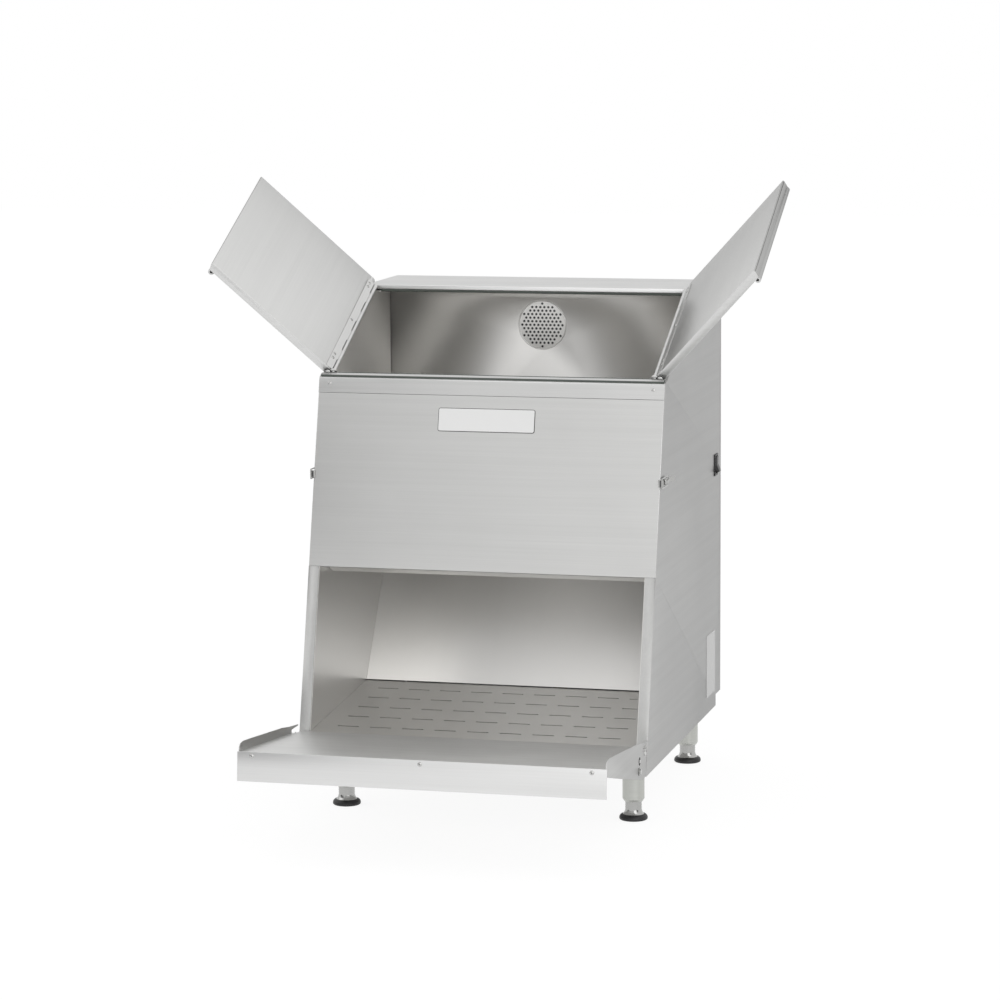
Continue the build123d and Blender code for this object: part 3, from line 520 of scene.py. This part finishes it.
# %% Put a finish on every CAD node
family = {
    "stainless": back_sheet, "liner_steel": liner_sheet, "bright_steel": fixing_steel,
    "leg_steel": leg_tube, "galvanised": zinc_casing, "heater_steel": hot_tube,
    "insulation": mineral_wool, "gasket": gasket_rubber, "rubber": stop_rubber,
    "foot_plastic": foot_moulding, "black_plastic": black_moulding,
    "light_plastic": cream_moulding, "motor_paint": motor_black, "brass_part": brass_cap,
    "plate": white_enamel, "label": grey_film,
}
own_finish = {
    "front_cap": cap_sheet, "front_panel": front_sheet, "left_side_panel": side_sheet,
    "right_side_panel": side_sheet, "top_panel": top_sheet, "tray_sheet": tray_steel,
    "tray_strip": strip_sheet, "left_tray_wing": wing_sheet, "right_tray_wing": wing_sheet,
    "lid_hinge_leaves": lid_sheet, "left_lid_leaf": lid_sheet, "right_lid_leaf": lid_sheet,
    "left_lid_outer_skin": lid_sheet, "right_lid_outer_skin": lid_sheet,
    "left_lid_inner_skin": lid_sheet, "right_lid_inner_skin": lid_sheet,
    "base_pan": pan_sheet, "lid_hinge_rods": pin_steel,
}
for side in ("left", "right"):
    own_finish[f"{side}_latch_lever"] = own_finish[f"{side}_latch_bail"] = latch_steel
own_finish["latch_bases"] = own_finish["latch_keepers"] = latch_steel


def finish_of(node):
    return own_finish.get(node, family[slot_of[node]])


for node, solid in nodes.items():
    if not solid.material_slots:
        solid.data.materials.append(None)
    for holder in solid.material_slots:
        holder.link = "OBJECT"
        holder.material = finish_of(node)
print("finishes on", len(nodes), "nodes")

# %% [markdown]
# A folded sheet never has a razor edge: the bend leaves a radius about as large as the sheet
# is thick, and that radius is what catches the light along a cabinet's corners. The CAD solids
# have sharp folds, so a copy of each is merged, its flat triangles are joined to whole faces,
# and its edges are bevelled: wide where two broad faces meet, narrow along cut edges. Hollow
# outlines are split into convex faces before that, or a bevel could leave a stray triangle
# across the hollow. Broad faces keep flat shading and only the narrow ones are smoothed, so
# that no shading of a fold bleeds into the sheet. The copy replaces the solid and rides its
# body.

# %% Rolled folds on the sheets
BROAD = 0.004


def breadth(face):
    return face.calc_area() / max(1e-9, *(edge.calc_length() for edge in face.edges))


def convex_edges(shape, angle):
    return [edge for edge in shape.edges if edge.is_manifold and edge.is_convex
            and edge.calc_face_angle(0.0) > angle]


def bevel(shape, edges, offset, segments):
    bmesh.ops.bevel(shape, geom=edges, offset=offset, offset_type="OFFSET", segments=segments,
                    profile=0.5, affect="EDGES", clamp_overlap=True)


def put_in_scene(name, mesh, node, finishes):
    """A finished mesh becomes a piece on the node's body, with the given finishes."""
    piece = add_object(name, mesh)
    for finish in finishes:
        mesh.materials.append(finish)
    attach(piece, nodes[node]["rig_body"])
    return piece


def rolled(node, fold=0.0013, cut=0.0003, steps=3, paint=None, finishes=None, corner=0.0):
    """A copy of a CAD sheet with rolled folds, eased cut edges and rounded end corners."""
    shape = bmesh.new()
    shape.from_mesh(nodes[node].data)
    bmesh.ops.remove_doubles(shape, verts=shape.verts[:], dist=2e-6)
    bmesh.ops.dissolve_limit(shape, angle_limit=0.01, verts=shape.verts[:], edges=shape.edges[:])
    bmesh.ops.connect_verts_concave(shape, faces=shape.faces[:])
    bevel(shape, [edge for edge in convex_edges(shape, radians(25))
                  if min(breadth(face) for face in edge.link_faces) > 2.0 * fold], fold, steps)
    if corner:
        ends = [edge for edge in convex_edges(shape, radians(50))
                if all(vert.co.y < 0.1 and abs(abs(vert.co.x) - HALF_WIDTH) < 1e-4
                       for vert in edge.verts)
                and edge.calc_length() > 0.01
                and max(face.normal.y for face in edge.link_faces) < 0.5]
        bevel(shape, ends, corner, 4)
    if cut:
        bevel(shape, convex_edges(shape, radians(50)), cut, 2)
    bmesh.ops.dissolve_degenerate(shape, dist=1e-6, edges=shape.edges[:])
    for face in shape.faces:
        face.smooth = breadth(face) < BROAD
        face.material_index = paint(face) if paint else 0
    mesh = bpy.data.meshes.new(f"{node}_rolled")
    shape.to_mesh(mesh)
    shape.free()
    mesh.set_sharp_from_angle(angle=radians(38))
    piece = put_in_scene(f"{node}_rolled", mesh, node, finishes or [finish_of(node)])
    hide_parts(node)


def flatten_modifiers(piece):
    """The evaluated mesh takes the place of the mesh and its modifiers."""
    evaluated = piece.evaluated_get(bpy.context.evaluated_depsgraph_get())
    mesh = bpy.data.meshes.new_from_object(evaluated)
    mesh.name = piece.data.name
    piece.modifiers.clear()
    piece.data = mesh


def outer_face(face):
    """Side walls: their outer face has the side's grain, their folded front edge the post's grain
    and a slightly darker grey, which is painted shade.
    """
    return 0 if abs(face.normal.x) > 0.5 else 1


OPEN = radians(131.0)
roof_off = Vector((0, -sin(PITCH), cos(PITCH)))
roof_up = Vector((0, cos(PITCH), sin(PITCH)))


def lid_reach(side):
    """The direction from an open lid's hinge to its free edge."""
    return Vector((-side * cos(OPEN), 0, 0)) + sin(OPEN) * roof_off


def lid_parts(side):
    """Lid sheets: 0 on the faces, 1 on the free edge, 2 on the two ends; the free edge's darker
    grey is painted shade and the ends' lighter grey painted light.
    """
    reach = lid_reach(side)

    def part(face):
        if abs(face.normal.dot(roof_up)) > 0.8:
            return 2
        return 1 if face.normal.dot(reach) > 0.5 else 0
    return part


for node in ("left_side_panel", "right_side_panel"):
    rolled(node, paint=outer_face, finishes=[side_sheet, post_sheet])
for node in ("front_cap", "front_panel"):
    rolled(node, cut=0.0002, corner=0.0010)
for node in ("top_panel", "back_panel", "base_pan", "tray_sheet", "left_tray_wing",
             "right_tray_wing", "tray_strip", "chip_baffle", "room_back"):
    rolled(node)
for side, word in SIDES:
    for skin in ("outer", "inner"):
        rolled(f"{word}_lid_{skin}_skin", fold=0.0010, paint=lid_parts(side),
               finishes=[lid_sheet, edge_sheet, end_sheet])

# %% [markdown]
# The same function with smaller numbers eases the edges of the little parts: latch plates and
# levers, hinge arms, switch bezel and rocker, gasket strips, rubber stops.

# %% Eased edges on small parts
for node, fold, cut in (
        ("latch_bases", 0.0004, 0.0002), ("latch_keepers", 0.0005, 0.0003),
        ("left_latch_lever", 0.0004, 0.0002), ("right_latch_lever", 0.0004, 0.0002),
        ("tray_brackets", 0.0005, 0.0003), ("switch_body", 0.0008, 0.0003),
        ("switch_rocker", 0.0007, 0.0003), ("lid_gaskets", 0.0012, 0.0),
        ("tray_bumpers", 0.0012, 0.0), ("terminal_block", 0.0010, 0.0),
        ("lid_hinge_rods", 0.0005, 0.0003),
        ("thermostat", 0.0015, 0.0), ("blower_motor", 0.0015, 0.0)):
    rolled(node, fold, cut, steps=2)
print("small parts eased")

# %% [markdown]
# Screws and rivets repeat all over a sheet-metal cabinet, so Geometry Nodes set them. The
# carrier is a mesh of bare points, each with a vector that says which way its head faces. The
# tree builds one head from primitives, cuts the cross recess with a boolean, puts a copy on
# every point and makes the copies real. Radius, height and finish are named inputs.

# %% A recipe class for Geometry Nodes
class Recipe(Graph):
    """A geometry tree with named inputs."""

    def __init__(self, name, **sizes):
        super().__init__(bpy.data.node_groups.new(name, "GeometryNodeTree"))
        new = self.tree.interface.new_socket
        new(name="Geometry", in_out="OUTPUT", socket_type="NodeSocketGeometry")
        new(name="Geometry", in_out="INPUT", socket_type="NodeSocketGeometry")
        self.keys = {}
        for size, value in sizes.items():
            socket = new(name=size, in_out="INPUT", socket_type="NodeSocketFloat")
            socket.default_value = value
            self.keys[size] = socket.identifier
        self.keys["Finish"] = new(name="Finish", in_out="INPUT",
                                  socket_type="NodeSocketMaterial").identifier
        self.given = self.node("NodeGroupInput", out="Geometry")
        self.sizes = [self.given.other(size) for size in sizes]

    def vector(self, x=0.0, y=0.0, z=0.0):
        return self.node("ShaderNodeCombineXYZ", {}, {"X": x, "Y": y, "Z": z})

    def moved(self, geometry, **inputs):
        return self.node("GeometryNodeTransform", {}, {"Geometry": geometry, **inputs})

    def dome(self, radius, height, lift=0.0):
        """A ball flattened to a dome whose middle stands at the lift."""
        ball = self.node("GeometryNodeMeshUVSphere", {}, {
            "Segments": 20, "Rings": 12, "Radius": 1.0})
        return self.moved(ball, Scale=self.vector(radius, radius, height),
                          Translation=self.vector(z=lift))

    def rod(self, vertices, radius, depth, **placing):
        """A cylinder along Z, unless it is placed otherwise."""
        bar = self.node("GeometryNodeMeshCylinder", {}, {
            "Vertices": vertices, "Radius": radius, "Depth": depth})
        return self.moved(bar, **placing) if placing else bar

    def without(self, solid, tools):
        return self.node("GeometryNodeMeshBoolean", {"operation": "DIFFERENCE"},
                         {"Mesh 1": solid, "Mesh 2": tools})

    def joined(self, *parts):
        return self.node("GeometryNodeJoinGeometry", {}, {"Geometry": list(parts)})

    def on_points(self, head, **turned):
        """The head on every carrier point."""
        points = self.node("GeometryNodeMeshToPoints", {}, {"Mesh": self.given})
        return self.node("GeometryNodeInstanceOnPoints", {}, {
            "Points": points, "Instance": head, **turned})

    def facing(self, head):
        """The head on every carrier point, turned so that its Z follows the facing vector."""
        facing = self.node("GeometryNodeInputNamedAttribute", {"data_type": "FLOAT_VECTOR"},
                           {"Name": "facing"})
        turn = self.node("FunctionNodeAlignRotationToVector", {"axis": "Z"}, {"Vector": facing})
        return self.on_points(head, Rotation=turn)

    def close(self, geometry):
        real = self.node("GeometryNodeRealizeInstances", {}, {"Geometry": geometry})
        painted = self.node("GeometryNodeSetMaterial", {}, {
            "Geometry": real, "Material": self.given.other("Finish")})
        self.node("NodeGroupOutput", {}, {"Geometry": painted})
        return self


def cook(recipe, name, points, body, slot, finish, stands_for=(), **sizes):
    """Runs a recipe on carrier points [(place, facing)], and leaves a plain mesh on a body."""
    carrier = bpy.data.meshes.new(name)
    carrier.from_pydata([place for place, _ in points], [], [])
    facing = carrier.attributes.new("facing", "FLOAT_VECTOR", "POINT")
    facing.data.foreach_set("vector", [c for _, way in points for c in way])
    piece = add_object(name, carrier)
    grow = piece.modifiers.new("grow", "NODES")
    grow.node_group = recipe.tree
    for size, value in {**sizes, "Finish": finish}.items():
        grow[recipe.keys[size]] = value
    flatten_modifiers(piece)
    piece.data.shade_smooth()
    piece.data.set_sharp_from_angle(angle=radians(35))
    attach(piece, body)
    if stands_for:
        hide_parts(*stands_for)
    print(name, len(points), "points,", len(piece.data.polygons), "faces")


# %% [markdown]
# Two small flat things are drawn as boxes. A steel retainer clamps the soft strip on the cap's
# rim and leaves only a dark line of it in front. A thin dark plate on each latch keeper's face
# is painted shadow: it stands for the shadow in the gap between the keeper and the panel's edge.

# %% Rim retainer and painted keeper shadows
def closed_mesh(name, points, faces):
    """A closed mesh whose faces all look outward."""
    mesh = bpy.data.meshes.new(name)
    mesh.from_pydata(points, [], faces)
    shape = bmesh.new()
    shape.from_mesh(mesh)
    bmesh.ops.recalc_face_normals(shape, faces=shape.faces[:])
    shape.to_mesh(mesh)
    shape.free()
    return mesh


def box_mesh(name, *boxes):
    """One mesh of boxes, each given by its eight corners: lower four, then upper four."""
    sides = [(3, 2, 1, 0), (4, 5, 6, 7), (0, 1, 5, 4), (1, 2, 6, 5), (2, 3, 7, 6), (3, 0, 4, 7)]
    return closed_mesh(name, [corner for corners in boxes for corner in corners], [
        tuple(8 * i + k for k in side) for i in range(len(boxes)) for side in sides])


def oblong(x0, x1, y0, y1):
    return (x0, y0), (x1, y0), (x1, y1), (x0, y1)


RIM_HALF, LATCH_HEIGHT, KEEPER_SHADE_HALF = 0.2835, 0.547, 0.0050
rim = [roof_point(x, along, above) for above in (0.0012, 0.0016)
       for x, along in oblong(-RIM_HALF, RIM_HALF, 0.0060, 0.0120)]
put_in_scene("rim_retainer", box_mesh("rim_retainer", rim), "front_cap", [cap_sheet])
# Dark plates on the keepers' faces: painted shadow of the gap at the panel's edge.
keeper_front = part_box("latch_keepers")[0].y
slots = [[(side * x, keeper_front + y, LATCH_HEIGHT + z) for z in (-KEEPER_SHADE_HALF, KEEPER_SHADE_HALF)
          for x, y in oblong(0.2858, 0.2880, -0.0002, 0.0008)] for side, _ in SIDES]
put_in_scene("keeper_shadow_plates", box_mesh("keeper_shadow_plates", *slots), "latch_keepers", [dark_steel])
print("retainer and slots in place")

# %% [markdown]
# Three heads cover the cabinet: a pan-head screw with a cross recess, a plain domed rivet, and
# a hexagon bolt with its washer. Each is built once, with its foot a little under the sheet.

# %% Screw, rivet and bolt recipes
def pan_head():
    recipe = Recipe("pan_head", Radius=0.004, Height=0.002)
    radius, height = recipe.sizes
    slots = []
    for wide, deep in ((1.15, 0.26), (0.26, 1.15)):
        bar = recipe.node("GeometryNodeMeshCube", {}, {"Size": recipe.vector(
            radius * wide, radius * deep, height)})
        slots.append(recipe.moved(bar, Translation=recipe.vector(z=height)))
    return recipe.close(recipe.facing(recipe.without(recipe.dome(radius, height), slots)))


def domed_rivet():
    recipe = Recipe("domed_rivet", Radius=0.003, Height=0.0012)
    return recipe.close(recipe.facing(recipe.dome(*recipe.sizes)))


def hex_bolt():
    recipe = Recipe("hex_bolt", Radius=0.0055, Height=0.0034)
    radius, height = recipe.sizes
    washer = recipe.rod(28, radius, height * 0.35, Translation=recipe.vector(z=height * 0.175))
    head = recipe.rod(6, radius * 0.86, height * 0.6,
                      Translation=recipe.vector(z=height * 0.6))
    crown = recipe.dome(radius * 0.7, height * 0.12, height * 0.88)
    return recipe.close(recipe.facing(recipe.joined(washer, head, crown)))


screw, rivet, bolt = pan_head(), domed_rivet(), hex_bolt()
print("recipes:", [group.name for group in bpy.data.node_groups])

# %% [markdown]
# The rear cover is held by twelve pan-head screws that the CAD gives as plain discs, and the
# cap by two rivets beside the posts. Their places are measured in the same way as in the
# drawing, and the new heads stand for the discs.

# %% Cabinet screws and cap rivets
COLUMNS, INNER_ROWS, END_ROWS = (-0.274, -0.092, 0.092, 0.274), (0.350, 0.565), (0.135, 0.780)
rear_places = [(x, z) for x in COLUMNS for z in END_ROWS]
rear_places += [(x, z) for x in (COLUMNS[0], COLUMNS[-1]) for z in INNER_ROWS]
rear_screws = [((x, DEPTH + SHIFT, z), (0, 1, 0)) for x, z in rear_places]
CAP_RIVET_X, CAP_RIVET_UP = 0.2677, 0.6111
front_out = (0, -cos(LEAN), sin(LEAN))
cook(screw, "rear_cover_screws", rear_screws, "cabinet", "bright_steel", fixing_steel,
     ["cabinet_screws"], Radius=0.0042, Height=0.0020)
cap_rivets = [(front_point(side * CAP_RIVET_X, CAP_RIVET_UP), front_out) for side, _ in SIDES]
cook(rivet, "cap_rivets", cap_rivets, "cabinet", "bright_steel", fixing_steel,
     Radius=0.0030, Height=0.0012)

# %% [markdown]
# The tray's strip has three screws along its top, each wing a bolt that holds it to the tray
# and a rivet above, both on thin dark fibre washers. All of them ride the tray door.

# %% Tray fasteners
TRAY_TILT = radians(5.6)
PIVOT = Vector((0, -0.015 + SHIFT, 0.1385))


def tray_point(x, out, above):
    """A point of the open tray: so far out from its pivot, so far above along its normal."""
    return Vector((x, PIVOT.y - out * cos(TRAY_TILT) + above * sin(TRAY_TILT),
                   PIVOT.z + out * sin(TRAY_TILT) + above * cos(TRAY_TILT)))


def on_wings(*spots):
    """Carrier points on the outer faces of both wings, from places along and up."""
    return [((side * WING_FACE, y + SHIFT, z), (side, 0, 0))
            for side, _ in SIDES for y, z in spots]


STRIP_FACE, STRIP_SCREWS, WING_FACE = 0.2787, (-0.266, 0, 0.266), 0.2875
WING_BOLT, WING_RIVET = (-0.0584, 0.1183), (-0.0546, 0.1338)
strip_out = (0, -cos(TRAY_TILT), sin(TRAY_TILT))
cook(screw, "strip_screws", [(tray_point(x, STRIP_FACE, 0.001), strip_out) for x in STRIP_SCREWS],
     "tray_door", "bright_steel", fixing_steel, ["tray_fasteners"], Radius=0.0036, Height=0.0017)
cook(bolt, "wing_bolts", on_wings(WING_BOLT), "tray_door", "bright_steel", fixing_steel,
     Radius=0.0055, Height=0.0034)
cook(rivet, "wing_rivets", on_wings(WING_RIVET), "tray_door", "bright_steel", fixing_steel,
     Radius=0.0034, Height=0.0015)
# Dark discs under the wing heads: painted shadow rings.
cook(rivet, "wing_shadow_rings", on_wings(WING_BOLT, WING_RIVET), "tray_door", "rubber",
     stop_rubber, Radius=0.0066, Height=0.0005)

# %% [markdown]
# Each lid hangs on a piano hinge along the side wall. Small screws, in a pair near each end and
# one between, hold its leaf to the lid from inside. A row of rivets fixes the other leaf to the
# wall.

# %% Hinge screws and rivets
HINGE_X, LIFT = 0.2665, 0.0003
LEAF_OUT, LEAF_SCREWS = 0.0125, (0.0450, 0.0562, 0.1640, 0.2725, 0.2837)
FIRST_RIVET, RIVET_STEP = 0.032, 0.048


def lid_point(side, out, along, above):
    """A point of the open lid: out from the hinge, up the slope, out of its outer face."""
    face = Vector((side * sin(OPEN), 0, 0)) + cos(OPEN) * roof_off
    return roof_point(side * HINGE_X, along, LIFT) + lid_reach(side) * out + face * above, face


for side, word in SIDES:
    places = []
    for along in LEAF_SCREWS:
        place, face = lid_point(side, LEAF_OUT, along, -0.0012)
        places.append((place, -face))
    cook(screw, f"{word}_lid_hinge_screws", places, f"{word}_lid", "bright_steel", fixing_steel,
         Radius=0.0031, Height=0.0011)
wall_rivets = [(roof_point(side * (HINGE_X + 0.0115), FIRST_RIVET + RIVET_STEP * i, -0.0009),
                roof_off) for side, _ in SIDES for i in range(6)]
cook(rivet, "hinge_wall_rivets", wall_rivets, "cabinet", "bright_steel", fixing_steel,
     Radius=0.0026, Height=0.0010)

# %% [markdown]
# Along its free edge each lid carries a grip: the sheet is rolled to an open curl, and its end
# is folded back inside, so that the hand meets a thick round edge. The CAD has the outer curl.
# The folded-back part is an arc drawn across the lid and drawn out along its whole length. At
# the hinges' front ends the rod's end is domed, and beside it a turned bush closes the wall's
# rolled edge. A dark ring under the bush and a dark disc in its middle are painted shade: the
# shadow gap round the bush and the dark of its bore.

# %% Grip linings and hinge ends
CURL_OUT, CURL_ABOVE = 0.2565, 0.0148
OUTSIDE, INSIDE, LID_ENDS = 0.00392, 0.00235, (0.0171, 0.3049)
arc = [(OUTSIDE, radians(-22 + 10.6 * i)) for i in range(20)]
arc += [(INSIDE, angle) for _, angle in reversed(arc)]
for side, word in SIDES:
    ring_points = [lid_point(side, CURL_OUT + radius * cos(angle), along,
                             CURL_ABOVE + radius * sin(angle))[0]
                   for along in LID_ENDS for radius, angle in arc]
    count, half = len(arc), len(arc) // 2
    faces = [(i, (i + 1) % count, (i + 1) % count + count, i + count) for i in range(count)]
    for start in (0, count):
        faces += [(start + i, start + i + 1, start + count - 2 - i, start + count - 1 - i)
                  for i in range(half - 1)]
    mesh = closed_mesh(f"{word}_lid_grip_lining", ring_points, faces)
    mesh.shade_smooth()
    mesh.set_sharp_from_angle(angle=radians(40))
    # The lining takes the lighter lid-end grey, which is painted light.
    put_in_scene(f"{word}_lid_grip_lining", mesh, f"{word}_lid_outer_skin", [end_sheet])
pin_ends = [(roof_point(side * HINGE_X, 0.0153, LIFT), -roof_up) for side, _ in SIDES]
cook(rivet, "hinge_pin_ends", pin_ends, "cabinet", "bright_steel", pin_steel,
     Radius=0.0026, Height=0.0009)
bush_ends = [(roof_point(side * (HINGE_X + 0.0090), 0.0150, 0.0006), -roof_up)
             for side, _ in SIDES]
# Dark ring and middle disc of each bush: painted shade of its gap and bore.
for name, slot, finish, radius, height in (
        ("hinge_bush_shadow_rings", "rubber", stop_rubber, 0.0060, 0.0006),
        ("hinge_bushes", "bright_steel", fixing_steel, 0.0048, 0.0022),
        ("hinge_bush_bore_shade", "rubber", stop_rubber, 0.0017, 0.0028)):
    cook(rivet, name, bush_ends, "cabinet", slot, finish, Radius=radius, Height=height)
print("grips lined")

# %% [markdown]
# High in the chip room's rear wall sits the round air intake: a disc punched with a close
# pattern of small holes, pressed into a rim. A hexagonal pattern packs the holes evenly. The
# tree makes a disc, puts a drill on each point, and subtracts all drills in one boolean. A fine
# dark gauze behind it keeps crumbs out of the blower: its mesh is much finer than a pixel, so
# it is a plain thin disc.

# %% Intake grille
def punched_disc():
    recipe = Recipe("punched_disc", Radius=0.0419, Thickness=0.001, Hole=0.0021)
    radius, thickness, hole = recipe.sizes
    upright = {"Rotation": (pi / 2, 0, 0)}
    disc = recipe.rod(96, radius, thickness, **upright,
                      Translation=recipe.vector(0.0, REAR_WALL, VENT_Z))
    drills = recipe.facing(recipe.rod(12, hole, 0.01))
    drills = recipe.node("GeometryNodeRealizeInstances", {}, {"Geometry": drills})
    ring, wire = (recipe.node("GeometryNodeCurvePrimitiveCircle", {"mode": "RADIUS"}, {
        "Resolution": points, "Radius": size}) for points, size in (
            (96, radius - 0.0012), (12, 0.0010)))
    rim = recipe.node("GeometryNodeCurveToMesh", {}, {"Curve": ring, "Profile Curve": wire})
    rim = recipe.moved(rim, **upright, Translation=recipe.vector(
        0.0, REAR_WALL - 0.0004, VENT_Z))
    return recipe.close(recipe.joined(recipe.without(disc, drills), rim))


low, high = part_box("intake_grille")
REAR_WALL, VENT_Z = low.y + 0.0005, (low.z + high.z) / 2
PITCH_OF_HOLES, FIELD, ROW_SHARE = 0.0070, 0.0370, 0.866     # rows of a hexagonal pattern
hole_places = []
for row in range(-6, 7):
    for column in range(-6, 7):
        x = (column + 0.5 * (row % 2)) * PITCH_OF_HOLES
        z = row * PITCH_OF_HOLES * ROW_SHARE
        if x * x + z * z < FIELD * FIELD:
            hole_places.append(((x, REAR_WALL, VENT_Z + z), (0, 1, 0)))
cook(punched_disc(), "intake_disc", hole_places, "cabinet", "liner_steel", liner_sheet,
     ["intake_grille"])
cook(rivet, "intake_gauze", [((0, REAR_WALL + 0.0016, VENT_Z), (0, -1, 0))], "cabinet",
     "liner_steel", dark_steel, Radius=0.0400, Height=0.0004)

# %% [markdown]
# The feet screw up into the leg tubes: a round black pad, rolled at its foot, and a bright
# threaded stem. A lathe is the natural tool: a profile of radius and height is turned about
# the leg's axis. The part of the profile that belongs to the stem gets the steel finish. The
# function that joins the rings doesn't ask for round ones, so it makes the plates below too.

# %% Feet
def stacked_mesh(name, rings, paint):
    """A closed mesh through rings of points, with a material index for each ring."""
    count, faces, indices = len(rings[0]), [], []
    for low, high, index in zip(range(len(rings)), range(1, len(rings)), paint[1:]):
        for i in range(count):
            j = (i + 1) % count
            faces.append((low * count + i, low * count + j, high * count + j, high * count + i))
            indices.append(index)
    last = (len(rings) - 1) * count
    faces += [tuple(reversed(range(count))), tuple(range(last, last + count))]
    indices += [paint[0], paint[-1]]
    mesh = bpy.data.meshes.new(name)
    mesh.from_pydata([point for ring in rings for point in ring], [], faces)
    mesh.polygons.foreach_set("material_index", indices)
    return mesh


TURNS, THREAD_START, THREAD_PITCH, STEPS = 14, 0.0166, 0.0040, 56
PAD = [(0.0195, 0.0000), (0.0214, 0.0003), (0.0226, 0.0012), (0.0230, 0.0026), (0.0229, 0.0044),
       (0.0224, 0.0060), (0.0214, 0.0074), (0.0200, 0.0086), (0.0186, 0.0093), (0.0172, 0.0096)]
stem = [(0.0168, 0.0098), (0.0164, 0.0104), (0.0152, 0.0118), (0.0143, 0.0136),
        (0.0137, 0.0156)]
for turn in range(TURNS):
    height = THREAD_START + THREAD_PITCH * turn
    stem += [(0.0135, height), (0.0131, height + 0.0016)]
stem += [(0.0130, 0.0735), (0.0120, 0.0740)]
circle = [(cos(2 * pi * i / STEPS), sin(2 * pi * i / STEPS)) for i in range(STEPS)]
for corner in ("front_left", "front_right", "rear_left", "rear_right"):
    low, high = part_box(f"{corner}_foot")
    middle = (low + high) / 2
    mesh = stacked_mesh(f"{corner}_levelling_foot", [
        [(middle.x + radius * x, middle.y + radius * y, height) for x, y in circle]
        for radius, height in PAD + stem], [0] * len(PAD) + [1] * len(stem))
    mesh.shade_smooth()
    mesh.set_sharp_from_angle(angle=radians(32))
    foot = put_in_scene(f"{corner}_levelling_foot", mesh, f"{corner}_foot",
                        [foot_moulding, stem_steel])
    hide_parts(f"{corner}_foot")
print("feet turned from", len(PAD + stem), "rows")

# %% [markdown]
# The name plate is left bare on purpose. It is a shallow enamelled tray with rounded corners
# and a thin dark edge where it meets the steel. Both layers are one outline, drawn at two
# sizes and given a rounded rim, so one function makes them.

# %% Name plate and rating label
def rounded_outline(width, height, radius, steps=8):
    x, y = width / 2 - radius, height / 2 - radius
    corners = [(x, y, 0), (-x, y, 90), (-x, -y, 180), (x, -y, 270)]
    return [(x + radius * cos(radians(start + 90 * i / steps)),
             y + radius * sin(radians(start + 90 * i / steps)))
            for x, y, start in corners for i in range(steps + 1)]


def crowned_plate(name, base, across_way, up_way, size, radius, levels):
    """Layers of one rounded outline: (inset, height, material index), joined and capped."""
    out_way = across_way.cross(up_way)
    rings = []
    for inset, height, _ in levels:
        outline = rounded_outline(size[0] - 2 * inset, size[1] - 2 * inset, radius - inset)
        rings.append([base + across_way * x + up_way * y + out_way * height for x, y in outline])
    return stacked_mesh(name, rings, [index for _, _, index in levels])


PLATE_SIZE, PLATE_RADIUS, LABEL_RADIUS = (0.160, 0.038), 0.0035, 0.003
front_up = Vector((0, sin(LEAN), cos(LEAN)))
x_way, y_way, z_way = Vector((1, 0, 0)), Vector((0, 1, 0)), Vector((0, 0, 1))
plate_mesh = crowned_plate("name_plate", front_point(-0.0025, 0.556), x_way, front_up,
                           PLATE_SIZE, PLATE_RADIUS,
                           [(0.0, 0.0, 1), (0.0, 0.0006, 1), (0.0004, 0.0009, 1),
                            (0.0009, 0.0010, 1), (0.0012, 0.0010, 0)])
plate = put_in_scene("bare_name_plate", plate_mesh, "nameplate", [white_enamel, stop_rubber])
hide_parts("nameplate")
low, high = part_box("data_plate")
middle, label_size = (low + high) / 2, (high.y - low.y, high.z - low.z)
label_mesh = crowned_plate("rating_label", Vector((HALF_WIDTH, middle.y, middle.z)), y_way, z_way,
                           label_size, LABEL_RADIUS,
                           [(0.0, 0.0, 0), (0.0, 0.0004, 0), (0.0003, 0.0006, 0)])
label = put_in_scene("bare_rating_label", label_mesh, "data_plate", [grey_film])
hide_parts("data_plate")
print("plates ready")

# %% [markdown]
# The cord gland is a black nut with a ribbed grip. Sixteen ribs stand round its rear barrel, so
# one more small recipe puts a rib on each point of a circle.

# %% Gland ribs
def grip_rib():
    recipe = Recipe("grip_rib", Width=0.0016, Length=0.014)
    width, length = recipe.sizes
    bar = recipe.rod(10, width * 0.5, length, Rotation=(pi / 2, 0, 0))
    return recipe.close(recipe.on_points(bar))


GLAND, GRIP_RADIUS, RIBS = Vector((0.190, 0.6335 + SHIFT, 0.200)), 0.0102, 16
angles = [2 * pi * i / RIBS for i in range(RIBS)]
ribs = [(GLAND + GRIP_RADIUS * Vector((cos(angle), 0, sin(angle))), (0, 1, 0)) for angle in angles]
cook(grip_rib(), "gland_ribs", ribs, "cabinet", "black_plastic", black_moulding)
